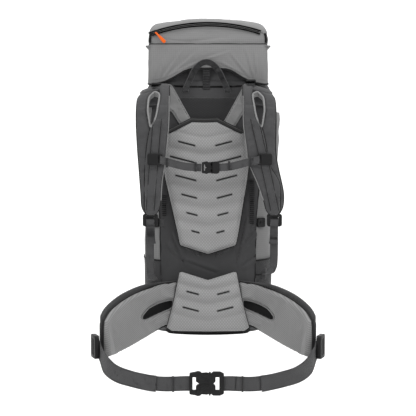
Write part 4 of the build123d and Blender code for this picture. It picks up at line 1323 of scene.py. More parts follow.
    def pull(self) -> None:
        """Make the slider's body and the cord pull with its moulded end."""
        palette = self.palette
        body = closed_path([(-5.5, -4.5), (5.5, -6.5), (5.5, 6.5), (-5.5, 4.5)], 1.0, 0.4)
        outline = stand(body, np.mean(DATUM.box("lid_zip_slider"), axis=0))
        slider = from_curve("lid_slider_body", [outline], closed=True, radius=0.8, extrude=1.2)
        finish(slider, palette.zinc, "lid_slider", ["lid_zip_slider"])
        low, high = DATUM.box("lid_zip_pull")
        y = (low[1] + high[1]) / 2
        along = np.array([high[0] - low[0], 0.0, low[2] - high[2]])
        length = np.linalg.norm(along) - 7.0
        along /= np.linalg.norm(along)
        begin = np.array([low[0], y, high[2]]) + along * 4.0
        side = np.array([-along[2], 0.0, along[0]])
        shape = [(0.0, -1.0), (0.25, -1.4), (0.5, -2.6), (0.9, -3.6), (1.0, -2.8), (1.0, 2.8),
                 (0.9, 3.6), (0.5, 2.6), (0.25, 1.4), (0.0, 1.0)]
        ring = closed_path([tuple((begin + along * length * a + side * b)[[0, 2]]) for a, b in shape],
                           1.0, 0.4)
        tab = from_curve("lid_pull_grip", [stand(ring, (0.0, y, 0.0))], closed=True, radius=0.9, extrude=0.5)
        finish(tab, palette.orange, "lid_pull", ["lid_zip_pull"])
        loop = [begin - along * 1.5 - side * 1.3, begin + along * 4 - side * 1.5,
                begin + along * 8 - side * 1.0]
        cord = from_curve("lid_pull_cord", [smooth_path(loop, 1.0)], radius=1.1)
        finish(cord, palette.orange, "lid_pull")


# ---------------------------------------------------------------------------------------- pads
SLANT = math.tan(math.radians(14.6))


@dataclass
class SlitRow:
    """One row of the ventilation slits: two slanted cuts, mirrored about the middle."""

    height: float
    inner: float
    outer: float
    wide: float = 4.6

    def mask(self, x: np.ndarray, z: np.ndarray) -> np.ndarray:
        """How deep in a slit each point lies, from 0 to 1."""
        reach = np.abs(x)
        off = z - self.height - SLANT * (reach - (self.inner + self.outer) / 2)
        end = np.minimum(reach - self.inner, self.outer - reach)
        rounded = np.clip(end + 1.5, 0, 1.5) / 1.5
        return np.clip(1.6 - np.abs(off) / (self.wide / 2) * 1.2, 0, 1) * rounded


def slit_mask(rows: Sequence[Point3], x: np.ndarray, z: np.ndarray) -> np.ndarray:
    """How deep in any slit of some rows (height, inner and outer end) each point lies."""
    return np.max([SlitRow(*row).mask(x, z) for row in rows], axis=0)


def channel(x: np.ndarray, z: np.ndarray, height: float, width: float, deep: float) -> np.ndarray:
    """Embossed channel shaped like a shallow U, rising outwards beside the slits."""
    reach = np.sqrt(x ** 2 + 18.0 ** 2) - 18.0
    return -deep * bump(z - height - SLANT * reach, width)


@dataclass
class BackPad(Part):
    """Spacer-mesh back pad with ventilation slits, embossed channels and a dark binding."""

    corners: tuple[Point2, ...] = ((0.0, 203.0), (71.0, 226.0), (104.0, 396.0), (110.0, 440.0),
                                   (97.0, 514.0), (33.0, 546.0), (0.0, 545.0))
    back: float = -4.0
    thick: float = 25.0
    edge: float = 15.0
    lean: float = 0.032
    rows: tuple[Point3, ...] = ((484.0, 26.0, 67.0), (444.0, 26.0, 89.0),
                                                    (398.0, 26.0, 77.0), (352.0, 26.0, 63.0),
                                                    (307.0, 26.0, 52.0), (262.0, 22.0, 41.0))

    def outline(self) -> np.ndarray:
        """Closed outline of the pad with rounded corners."""
        return closed_path(mirrored(self.corners), 3.0, 0.9)

    def relief(self, x: np.ndarray, z: np.ndarray) -> np.ndarray:
        """Height of the embossing over the pad's crown."""
        amount = np.zeros_like(x)
        heights = [row[0] for row in self.rows]
        for upper, lower in zip(heights[:-1], heights[1:]):
            amount += channel(x, z, (upper + lower) / 2 - 6.0, 8.5, 4.6)
        for height in heights:
            amount += channel(x, z, height - 6.0, 13.0, -2.4)
        amount += channel(x, z, heights[0] + 16.0, 5.0, 1.6)
        return amount

    def hang(self, points: np.ndarray) -> np.ndarray:
        """Let the pad hang a little to the left at its top, as soft pads do."""
        moved = points.copy()
        moved[:, 0] -= self.lean * np.clip(points[:, 2] - 262.0, 0, None)
        return moved

    def slits(self, x: np.ndarray, z: np.ndarray) -> np.ndarray:
        """How deep in any slit each point lies."""
        return slit_mask(self.rows, x, z)

    def build(self) -> None:
        """Make the pad, its binding and its stitches."""
        outline = self.outline()
        middle = self.back - self.thick * 0.15
        crown = self.thick * 0.85
        pad = Pillow("back_pad_mesh", outline, self.thick, lambda p, w: self.hang(upright(middle)(p, w)),
                     round_edge=self.edge, step=1.7, relief=self.relief, slit_shade=self.slits).build()
        finish(pad, self.palette.spacer, "root", ["back_pad"])
        rim = self.hang(stand(outline, (0.0, middle, 0.0)))
        finish(from_curve("back_pad_binding", [rim], closed=True, radius=2.6), self.palette.binding,
               "root")
        inner = closed_path(mirrored([(x * 0.93, 374 + (z - 374) * 0.965) for x, z in self.corners]),
                            3.0, 0.9)
        gap = edge_distance(inner, outline)
        rise = np.sqrt(np.clip(1 - (1 - np.clip(gap / self.edge, 0, 1)) ** 2, 0, 1))
        depth = middle - crown * rise - 0.2
        path = self.hang(np.column_stack([inner[:, 0], depth, inner[:, 1]]))
        stitches = self.beads.along("back_pad_stitches", [np.vstack([path, path[:1]])], 3.4,
                                    (0.8, 0.8, 2.2), REARWARD, self.palette.thread)
        finish(stitches, self.palette.thread, "root")
        ahead = directions(outline)
        inward = np.column_stack([-ahead[:, 1], ahead[:, 0]])
        if (inward @ np.array([0.0, 1.0]))[np.argmin(outline[:, 1])] < 0:
            inward = -inward
        top = outline[:, 1] > 508.0
        rows = []
        for gap in np.linspace(0.0, 8.0, 6):
            rise = math.sqrt(1 - (1 - gap / self.edge) ** 2) * crown + 1.1
            rows.append(self.hang(stand((outline + inward * gap)[top], (0.0, middle - rise, 0.0))))
        band = open_grid("back_pad_top_binding", np.array(rows), thick=1.6)
        finish(band, self.palette.binding, "root")
        self.vents()
        self.upper_mesh()

    def vents(self) -> None:
        """Make the two dark mesh windows just below the pad."""
        for side, name in SIDES:
            corners = [(side * 17.0, 214.0), (side * 58.0, 236.0), (side * 60.0, 218.0), (side * 19.0, 194.0)]
            ring = closed_path(corners, 2.0, 0.5)
            pad = Pillow(f"{name}_vent_mesh", ring, 3.0, upright(-2.2), round_edge=3.0, step=3.0).build()
            finish(pad, self.palette.stretch, "root")

    def upper_mesh(self) -> None:
        """Make the dark mesh panel between the yoke's arms."""
        ring = closed_path([(-58.0, 532.0), (58.0, 532.0), (88.0, 600.0), (-88.0, 600.0)], 4.0, 0.8)
        panel = Pillow("upper_back_mesh", ring, 3.0, upright(-1.6), round_edge=4.0, step=5.0).build()
        finish(panel, self.palette.vent, "root")


@dataclass
class LumbarPad(Part):
    """Spacer-mesh lumbar pad in front of the roots of the hip fins."""

    corners: tuple[Point2, ...] = ((0.0, 9.0), (92.0, 11.0), (104.0, 20.0), (86.0, 90.0), (72.0, 160.0),
                                   (66.0, 162.0), (0.0, 141.0))
    back: float = -33.0
    thick: float = 18.0
    rows: tuple[Point3, ...] = ((110.0, 24.0, 53.0), (69.0, 24.0, 63.0))

    def relief(self, x: np.ndarray, z: np.ndarray) -> np.ndarray:
        """Height of the embossing over the pad's crown."""
        return (channel(x, z, 119.0, 7.0, 3.6) + channel(x, z, 83.0, 7.0, 4.0)
                + channel(x, z, 40.0, 7.0, 3.0) + channel(x, z, 100.0, 11.0, -2.2)
                + channel(x, z, 60.0, 11.0, -2.2))

    def build(self) -> None:
        """Make the pad, its dark binding, painted shade along the pad's sides, and its dark backing."""
        outline = closed_path(mirrored(self.corners), 3.0, 0.9)
        middle = self.back - self.thick * 0.15
        pad = Pillow("lumbar_pad_mesh", outline, self.thick, upright(middle), round_edge=13.0, step=1.7,
                     relief=self.relief, slit_shade=lambda x, z: slit_mask(self.rows, x, z)).build()
        finish(pad, self.palette.spacer, "root", ["lumbar_pad"])
        # Painted shade: this thin black binding runs right round the pad; along its sides, where the pad has
        # no dark binding, it stands for the thin shade at the pad's edge.
        rim = stand(outline, (0.0, middle, 0.0))
        finish(from_curve("lumbar_binding_and_side_shade", [rim], closed=True, radius=1.4), self.palette.binding,
               "root")
        band = ribbon("lumbar_bottom_binding", [(-106.0, -31.0, 16.0), (-96.0, -36.0, 9.0),
                                                (-50.0, -38.0, 6.0), (0.0, -38.0, 5.0), (50.0, -38.0, 6.0),
                                                (96.0, -36.0, 9.0), (106.0, -31.0, 16.0)], 9.0, 3.0,
                      [(0.0, -0.3, 1.0)])
        finish(band, self.palette.binding, "root")
        core = Pillow("lumbar_backing", closed_path([(-74.0, 20.0), (74.0, 20.0), (62.0, 138.0),
                                                     (-62.0, 138.0)], 6.0, 0.6), 30.0,
                      upright(-4.0), round_edge=3.0, step=8.0, back=0.1).build()
        finish(core, self.palette.dark, "root")


# ---------------------------------------------------------------------------------------- harness
@dataclass
class Yoke(Part):
    """Two pale padded arms that run from the straps to the back pad."""

    outline: tuple[Point2, ...] = ((35.0, 528.0), (92.0, 630.0), (110.0, 634.0), (110.0, 568.0),
                                   (91.0, 566.0), (62.0, 520.0))
    middle: float = -2.2
    thick: float = 4.6

    def build(self) -> None:
        """Make the arms with their piping, and dress the plate behind the pad."""
        for side, name in SIDES:
            ring = closed_path([(side * x, z) for x, z in self.outline], 3.0, 0.7)
            arm = Pillow(f"{name}_yoke_arm", ring, self.thick, upright(self.middle), round_edge=7.0,
                         step=3.5).build()
            settle(arm, 3.0)
            finish(arm, self.palette.lining, "harness")
            rim = stand(ring, (0.0, self.middle - 1.2, 0.0))
            finish(from_curve(f"{name}_yoke_piping", [rim], closed=True, radius=1.6),
                   self.palette.lining, "harness")
        dress("yoke", self.palette.dark)


@dataclass
class ShoulderStraps(Part):
    """Padded shoulder straps: an outer limb, a front limb over it, and the eye between them."""

    thick: float = 14.0
    front: float = -82.0
    top: float = 625.0
    foot: float = 312.0
    foot_y: float = -68.0
    rear: float = -10.2
    slope: float = 15.0
    hang: float = 4.5
    foot_x: tuple[float, float] = (143.0, 165.0)
    face: float = 11.0 * 0.58       # crown of the front limb, 11 thick, over its layer
    band_top: float = 545.0
    band_low: float = 322.0
    band_x: float = 119.0
    eye: tuple[Point2, ...] = ((113.0, 603.0), (127.0, 611.0), (141.0, 600.0), (143.5, 566.0),
                               (136.0, 521.0), (122.0, 552.0))

    def side_line(self) -> np.ndarray:
        """Side view of the strap's middle as y and z, from the yoke over the top to the foot."""
        corners = [(self.rear, self.top - 48), (self.rear, self.top - 20), (self.rear - 10, self.top - 5),
                   (self.rear - 30, self.top), (self.front + 20, self.top - 14),
                   (self.front + 5, self.top - 45), (self.front, self.top - 80),
                   (self.front, self.foot + 78), (self.front + 6, self.foot + 38),
                   (self.foot_y, self.foot - 6)]
        return smooth_path(corners, 1.0)

    def frame_at(self, run: np.ndarray, out: np.ndarray) -> tuple[np.ndarray, np.ndarray]:
        """Place on the strap's side view at a run along it and a distance in front of its middle."""
        line = self.side_line()
        length = lengths(line)
        along = directions(line)
        y = np.interp(run, length, line[:, 0])
        z = np.interp(run, length, line[:, 1])
        dy = np.interp(run, length, along[:, 0])
        dz = np.interp(run, length, along[:, 1])
        size = np.maximum(np.hypot(dy, dz), 1e-6)
        return y + out * dz / size, z - out * dy / size

    def run_at(self, z: np.ndarray) -> np.ndarray:
        """Run along the strap's front stretch where it passes a height."""
        line = self.side_line()
        length = lengths(line)
        crest = int(np.argmax(line[:, 1]))
        falling, runs = line[crest:, 1], length[crest:]
        return np.interp(-np.asarray(z, float), -falling, runs)

    def place(self, side: int, middle: float) -> Profile2:
        """Give the map from a strap's flat pattern (x, run) to its place.

        Args:
            side: -1 for the left strap and 1 for the right.
            middle: How far the layer lies in front of the strap's middle.

        Returns:
            Function of flat points and heights above the layer.
        """
        def put(points: np.ndarray, out: np.ndarray) -> np.ndarray:
            y, z = self.frame_at(points[:, 1], out + middle)
            fall = np.clip((points[:, 0] - 112.0) / 52.0, 0, 1) ** 1.4
            z = z - self.slope * fall * np.clip((z - 560.0) / 60.0, 0, 1)
            hang = self.hang * np.clip((z - 330.0) / 200.0, 0, 1)
            return np.column_stack([side * points[:, 0] - hang, y, z])
        return put

    def limb(self, rows: Sequence[Point3]) -> np.ndarray:
        """Flat outline of a limb from rows of height, inner x and outer x."""
        table = np.array(rows, float)
        run = self.run_at(table[:, 0])
        inner = smooth_path(np.column_stack([table[:, 1], run]), 4.0)
        outer = smooth_path(np.column_stack([table[:, 2], run]), 4.0)[::-1]
        return closed_path(even(np.vstack([inner, outer, inner[:1]]), 6.0)[:-1], 3.0, 0.6)

    def build(self) -> None:
        """Make both straps with their eyes, rails, piping, linings and adjusters."""
        for index, (side, name) in enumerate(SIDES):
            self.strap(side, name, self.foot_x[index])
            self.adjuster(side, name, self.foot_x[index])

    def strap(self, side: int, name: str, foot: float) -> None:
        """Make one strap."""
        palette = self.palette
        limbs = {
            "outer": ([(632.0, 116.0, 158.0), (614.0, 130.0, 167.0), (600.0, 140.0, 170.0),
                       (565.0, 143.0, 171.5), (524.0, 134.0, 171.5), (470.0, 126.0, 170.0),
                       (430.0, foot - 26, 168.0 + (foot - 143) * 0.3),
                       (366.0, foot - 16, foot + 22.0), (330.0, foot - 6, foot + 21.0),
                       (311.0, foot + 2, foot + 13.0)], 9.0, -2.6),
            "front": ([(632.0, 91.0, 122.0), (606.0, 90.0, 114.0), (580.0, 90.0, 116.0),
                       (546.0, 91.0, 124.0), (524.0, 93.0, 137.0), (480.0, 98.0, 147.0),
                       (437.0, 104.0, 152.0), (390.0, (104 + foot - 23) / 2, foot + 12.0),
                       (345.0, foot - 27, foot + 14.0), (322.0, foot - 21, foot + 14.0),
                       (308.0, foot - 11, foot + 8.0)], 11.0, 2.0),
        }
        dent_run = float(self.run_at(np.array([430.0]))[0])
        for limb, (rows, thick, middle) in limbs.items():
            outline = self.limb(rows)
            raised = self.band(foot) if limb == "front" else None
            pad = Pillow(f"{name}_strap_{limb}_limb", outline, thick, self.place(side, middle),
                         round_edge=7.0, back=0.42, step=2.6,
                         relief=lambda x, r, band=raised:
                         0.5 * np.sin(r / 13.0) * np.sin(x / 11.0)
                         - 1.4 * bump(r - dent_run - 0.35 * (x - 120), 5.0)
                         + (band(x, r) if band else 0.0)).build()
            settle(pad, 1.5)
            node = [f"{name}_shoulder_strap"] if limb == "front" else []
            finish(pad, palette.strap, "harness", node)
            rim = self.place(side, middle)(outline, np.full(len(outline), 0.6))
            finish(from_curve(f"{name}_strap_{limb}_binding", [rim], closed=True, radius=1.5),
                   palette.binding, "harness")
        rear = Pillow(f"{name}_strap_root", self.root_outline(), 9.0, self.place(side, 0.0),
                      round_edge=6.0, back=0.45, step=5.0).build()
        finish(rear, palette.strap, "harness")
        self.eye_rim(side, name)
        self.rail(side, name, foot)
        inner = np.array([(90.6, 600.0), (90.8, 560.0), (92.4, 524.0), (97.4, 480.0), (103.4, 437.0),
                          ((104 + foot - 23) / 2 - 0.6, 390.0), (foot - 27.4, 346.0)])
        flat = smooth_path(np.column_stack([inner[:, 0], self.run_at(inner[:, 1])]), 3.0)
        piping = self.place(side, 2.0)(flat, np.full(len(flat), 2.4))
        finish(from_curve(f"{name}_strap_piping", [piping], radius=1.1), palette.lining, "harness")

    def band(self, foot: float) -> Profile2:
        """Give the step of the band sewn on a strap's face, by x and run."""
        heights = np.linspace(self.band_top, self.band_low, 24)
        runs, middle = self.run_at(heights), self.rail_x(heights, foot)

        def step(x: np.ndarray, run: np.ndarray) -> np.ndarray:
            off = np.abs(x - np.interp(run, runs, middle))
            along = np.clip((run - runs[0]) / 2, 0, 1)
            return 1.3 * np.clip((10.5 - off) / 1.5, 0, 1) * along
        return step

    def root_outline(self) -> np.ndarray:
        """Flat outline of the strap's end that goes over the top to the yoke."""
        end = float(self.run_at(np.array([618.0]))[0])
        return closed_path([(91.0, 4.0), (161.0, 4.0), (166.0, end - 20), (160.0, end + 6),
                            (91.0, end + 6)], 4.0, 0.7)

    def eye_rim(self, side: int, name: str) -> None:
        """Make the thick pale rim round the eye and the lining inside it."""
        ring = closed_path(self.eye, 2.0, 0.45)
        flat = np.column_stack([ring[:, 0], self.run_at(ring[:, 1])])
        rim = self.place(side, 0.0)(flat, np.full(len(flat), 7.0))
        finish(from_curve(f"{name}_eye_rim", [rim], closed=True, radius=2.3, fine=3),
               self.palette.lining, "harness")
        rows = []
        for out in np.linspace(6.5, -7.0, 6):
            pinch = 1.0 - 0.10 * ((6.5 - out) / 13.5)
            middle = flat.mean(axis=0)
            rows.append(self.place(side, 0.0)(middle + (flat - middle) * pinch,
                                              np.full(len(flat), out)))
        rows = np.array(rows)
        closed = np.concatenate([rows, rows[:, :1]], axis=1)
        finish(open_grid(f"{name}_eye_lining", closed, thick=1.2), self.palette.lining, "harness")

    def rail_x(self, z: np.ndarray, foot: float) -> np.ndarray:
        """How far from the middle of the bag the sewn band runs at a height."""
        drop = (self.band_top - np.asarray(z, float)) / (self.band_top - self.band_low)
        return self.band_x + (foot - self.band_x) * drop

    def rail(self, side: int, name: str, foot: float) -> None:
        """Make the edges, stitches and bar tacks of the band sewn down the front of a strap."""
        heights = np.linspace(self.band_top, self.band_low, 24)
        flat = np.column_stack([self.rail_x(heights, foot), self.run_at(heights)])
        place = self.place(side, 2.0)
        edges = [place(flat + np.array([edge, 0.0]), np.full(len(flat), self.face + 1.5))
                 for edge in (-10.0, 10.0)]
        finish(from_curve(f"{name}_rail_edges", edges, radius=0.8), self.palette.binding, "harness")
        lines = [place(flat + np.array([edge, 0.0]), np.full(len(flat), self.face + 2.6))
                 for edge in (-7.6, 7.6)]
        tacks = [place(np.column_stack([self.band_x + np.linspace(-8, 8, 12),
                                        self.run_at(np.full(12, z))]), np.full(12, self.face + 2.7))
                 for z in (540.0, 537.5, 535.0)]
        stitches = self.beads.along(f"{name}_rail_stitches", lines + tacks, 3.0, (0.8, 0.7, 2.2),
                                    REARWARD, self.palette.thread)
        finish(stitches, self.palette.thread, "harness")

    def adjuster(self, side: int, name: str, foot: float) -> None:
        """Make the ladder lock at the foot and the folded webbing that holds it."""
        palette = self.palette
        x = side * foot
        (_, front, bottom), (_, back, top) = DATUM.box(f"{name}_strap_adjuster")
        lock = LadderLock(palette, width=36.0, height=top - bottom + 2)
        body = lock.build(f"{name}_adjuster_lock", np.array([x, front + 6.0, (top + bottom) / 2]))
        finish(body, palette.acetal, "harness", [f"{name}_strap_adjuster"])
        loop = ribbon(f"{name}_adjuster_loop", [(x, front + 3.0, top + 26), (x, front + 2.0, top + 4),
                                                (x, front + 6.0, top - 6), (x, front + 11.0, top + 2),
                                                (x, front + 9.0, top + 20)], 20.0, 1.6, step=1.5)
        finish(loop, palette.webbing, "harness")
        tail = ribbon(f"{name}_adjuster_tail", [(x, back - 3.0, top - 10), (x, front + 2.0, top - 13),
                                                (x - side * 1, front + 0.5, bottom - 6),
                                                (x - side * 2, front + 3.0, bottom - 34),
                                                (x - side * 4, front + 4.5, bottom - 46)], 20.0, 1.6,
                      step=1.5)
        finish(tail, palette.webbing, "harness")


@dataclass
class LadderLock:
    """Moulded ladder lock: a frame with two bars."""

    palette: Palette
    width: float = 24.0
    height: float = 20.0
    deep: float = 5.0

    def build(self, name: str, middle: np.ndarray) -> bpy.types.Object:
        """Make the lock facing the wearer.

        Args:
            name: Name of the piece.
            middle: Its middle in millimetres.

        Returns:
            The lock's mesh, not yet dressed.
        """
        half, tall = self.width / 2, self.height / 2
        gap = self.height / 5.2
        rings = [box_path(half, tall, 1.0, 0.66)]
        rings += [box_path(half - 7.0, gap * 0.36, 1.0, 0.75, (0.0, z)) for z in (gap * 1.05, -gap * 1.05)]
        paths = [stand(ring, middle) for ring in rings]
        return from_curve(name, paths, closed=True, radius=0.9, extrude=self.deep / 2 - 0.9, sharp=40)


@dataclass
class StrapWebbing(Part):
    """Webbing from the ladder locks down to the foot of the bag, and the load lifters above."""

    foot_x: tuple[float, float] = (145.0, 165.0)
    foot_z: tuple[float, float] = (136.0, 152.0)
    lifter_x: tuple[float, float] = (-128.0, 106.0)

    def build(self) -> None:
        """Make both lower webbings and both load lifters with their locks."""
        palette = self.palette
        for index, (side, name) in enumerate(SIDES):
            x = side * self.foot_x[index]
            end = self.foot_z[index]
            points = [(x, -57.0, 305.0), (x, -57.5, 268.0), (x, -56.0, 232.0), (x, -50.0, 196.0),
                      (x - side * 1, -36.0, end + 22), (x - side * 7, -14.0, end + 5),
                      (side * 146.0, 10.0, end - 3)]
            turn = [(1.0, 0.0, 0.0)] * 4 + [(1.0, 0.15 * side, 0.0)] * 3
            web = ribbon(f"{name}_lower_webbing", points, 20.0, 1.6, turn, ripple=0.25)
            finish(web, palette.webbing, "root", [f"{name}_strap_webbing"])
            patch = Pillow(f"{name}_webbing_anchor", closed_path([(-16.0, 0.0), (10.0, 0.0), (12.0, 34.0),
                                                                  (-12.0, 26.0)], 3.0, 0.6), 3.0,
                           lambda p, w, s=side: np.column_stack([s * (143.0 + p[:, 0] * 0.6),
                                                                 14.0 + 0.35 * p[:, 0] - w * 0.8,
                                                                 134.0 + p[:, 1]]),
                           round_edge=3.0, step=4.0).build()
            finish(patch, palette.dark, "root")
            self.lifter(side, name, self.lifter_x[index])

    def lifter(self, side: int, name: str, x: float) -> None:
        """Make one load lifter: webbing over the strap's top and its lock lying flat."""
        palette = self.palette
        drop = 8.0 if abs(x) > 115.0 else 0.0
        web = ribbon(f"{name}_lifter_web", [(x, -14.5, 634.0), (x, -28.0, 635.5 - drop / 2),
                                            (x, -46.0, 634.0 - drop), (x, -58.0, 629.0 - drop)], 18.0, 1.5,
                     step=2.0)
        finish(web, palette.webbing, "harness",
               ["load_lifters", "strap_rails"] if side > 0 else [])
        middle = np.array([x, -46.0, 638.0 - drop])
        body = LadderLock(palette, width=23.0, height=18.0).build(f"{name}_lifter_lock", middle)
        tilt = math.radians(72.0)
        turn = np.array([[1.0, 0.0, 0.0], [0.0, math.cos(tilt), math.sin(tilt)],
                         [0.0, -math.sin(tilt), math.cos(tilt)]])
        reshape(body, lambda points: middle + (points - middle) @ turn)
        finish(body, palette.acetal, "harness", ["load_lifter_locks"] if side > 0 else [])


@dataclass
class SternumStrap(Part):
    """Sternum strap: two rail clips, sagging webbing and a side-release buckle."""

    height: float = 427.0
    clip_height: float = 447.0
    clip_x: tuple[float, float] = (130.0, 139.0)
    y: float = -98.7

    def clip(self, side: int, x: float) -> bpy.types.Object:
        """Make a rail clip: a rounded frame with a bar for the webbing."""
        rings = (box_path(17.0, 13.0, 1.5, 0.7), box_path(2.4, 10.5, 1.0, 0.7, (-side * 10.0, 0.0)))
        paths = [stand(ring, (side * x, self.y + 4.4, self.clip_height)) for ring in rings]
        return from_curve(f"{'left' if side < 0 else 'right'}_sternum_clip", paths, closed=True,
                          radius=1.3, extrude=1.6, sharp=40)

    def build(self) -> None:
        """Make the clips, webbing and buckle; all but the right webbing and its keepers ride on the body that
        they move with.
        """
        palette = self.palette
        for index, side in enumerate((-1, 1)):
            finish(self.clip(side, self.clip_x[index]), palette.acetal, "sternum",
                   ["sternum_sliders"] if side < 0 else [])
        left = ribbon("sternum_left_webbing", [(-119.0, self.y + 4, 446.0), (-114.0, self.y + 0.4, 445.0),
                                               (-86.0, self.y - 0.5, 437.0), (-60.0, self.y, 430.5),
                                               (-38.0, self.y, 428.0), (-16.0, self.y, 427.0)],
                      19.0, 1.5, ALONG_Z, ripple=0.5)
        finish(left, palette.webbing, "sternum", ["sternum_webbing"])
        right = ribbon("sternum_right_webbing", [(13.0, self.y, 427.0), (34.0, self.y, 427.5),
                                                 (58.0, self.y, 430.0), (86.0, self.y - 0.5, 437.0),
                                                 (122.0, self.y + 0.4, 445.0), (128.0, self.y + 4, 446.0)],
                       19.0, 1.5, ALONG_Z, ripple=0.5)
        self.slack(right)
        for side, places in ((-1, (-100.0, -30.0)), (1, (52.0, 104.0))):
            for k, at in enumerate(places):
                z = 427.0 + 18.0 * (abs(at) / 130.0) ** 1.6
                keeper = ribbon(f"sternum_{'left' if side < 0 else 'right'}_keeper_{k}",
                                [(at, self.y + 1.6, z - 10.8), (at, self.y - 1.9, z - 10.8),
                                 (at, self.y - 2.4, z), (at, self.y - 1.9, z + 10.8),
                                 (at, self.y + 1.6, z + 10.8)], 6.0, 1.2, step=1.5)
                if side > 0:
                    self.slack(keeper)
                else:
                    finish(keeper, palette.webbing, "sternum")
        self.buckle()

    def slack(self, piece: bpy.types.Object) -> None:
        """Give a piece of the right webbing its finish and fix its place in its mesh."""
        piece.data.materials.append(self.palette.webbing)
        DATUM.place(60.0, self.y, 430.0)
        DATUM.place(112.0, self.y, 444.0)
        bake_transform(piece)

    def buckle(self) -> None:
        """Make the side-release buckle and dress the plug's hidden prongs."""
        SideRelease(self.palette, "sternum", (6.5, self.y - 1.5, self.height), 40.0, 28.0, 8.0,
                    "sternum", "sternum_male", ("sternum_socket",), ()).build()
        dress("sternum_plug", self.palette.acetal)


@dataclass
class SideRelease:
    """Side-release buckle: a socket with a window on the left and a pronged plug on the right."""

    palette: Palette
    name: str
    middle: Point3
    width: float
    tall: float
    deep: float
    socket_body: str
    plug_body: str
    socket_nodes: tuple[str, ...]
    plug_nodes: tuple[str, ...]

    def plate(self, name: str, rings: Sequence[Sequence[Point2]], deep: float, body: str,
              forward: float = 0.0, nodes: Iterable[str] = ()) -> None:
        """Make a bevelled plate from outlines drawn on a buckle 77 wide and 54 tall."""
        across, up = self.width / 77.0, self.tall / 54.0
        paths = []
        for ring in rings:
            flat = closed_path(ring, 1.6, 0.82) * np.array([across, up])
            paths.append(stand(flat, (self.middle[0], self.middle[1] - forward, self.middle[2])))
        bevel = min(1.5, deep / 4)
        made = from_curve(f"{self.name}_{name}", paths, closed=True, radius=bevel,
                          extrude=deep / 2 - bevel, sharp=38)
        finish(made, self.palette.acetal, body, nodes)

    def build(self) -> None:
        """Make the socket with its window and raised ribs, and the plug with its prongs."""
        upper = [(-38.5, 23), (-26.5, 25), (-20.5, 27), (-15.5, 26), (-9.5, 20), (3.5, 20), (7.5, 26),
                 (8.5, 22)]
        socket = upper + [(x, -z) for x, z in reversed(upper)]
        window = [(-34, -17), (-23.5, -17), (-23.5, -6.5), (-13.5, 0), (-23.5, 6.5), (-23.5, 17),
                  (-34, 17)]
        self.plate("socket_shell", [socket, window], self.deep, self.socket_body,
                   nodes=self.socket_nodes)
        half = [(9.3, 21), (15.5, 26), (30.5, 26), (38.5, 22)]
        plug = half + [(x, -z) for x, z in reversed(half)]
        slot = [(19, -17), (30.5, -17), (30.5, 17), (19, 17), (19, 6), (12.5, 0), (19, -6)]
        self.plate("plug_frame", [plug, slot], self.deep - 1.0, self.plug_body, nodes=self.plug_nodes)
        for side, name in ((-1, "lower"), (1, "upper")):
            prong = [(12.5, 14), (-5.5, 13), (-17.5, 13), (-24.5, 16), (-22.5, 20.5), (-13.5, 23.5),
                     (0.5, 24.5), (12.5, 20.5)]
            self.plate(f"plug_{name}_prong", [[(x, side * z) for x, z in prong]], self.deep / 2,
                       self.plug_body)
            rib = [(-20.5, 18), (-16.5, 18), (5.5, 6), (5.5, 2.5), (-11.5, 4)]
            self.plate(f"socket_{name}_rib", [[(x, side * z) for x, z in rib]], self.deep / 4,
                       self.socket_body, self.deep / 2)


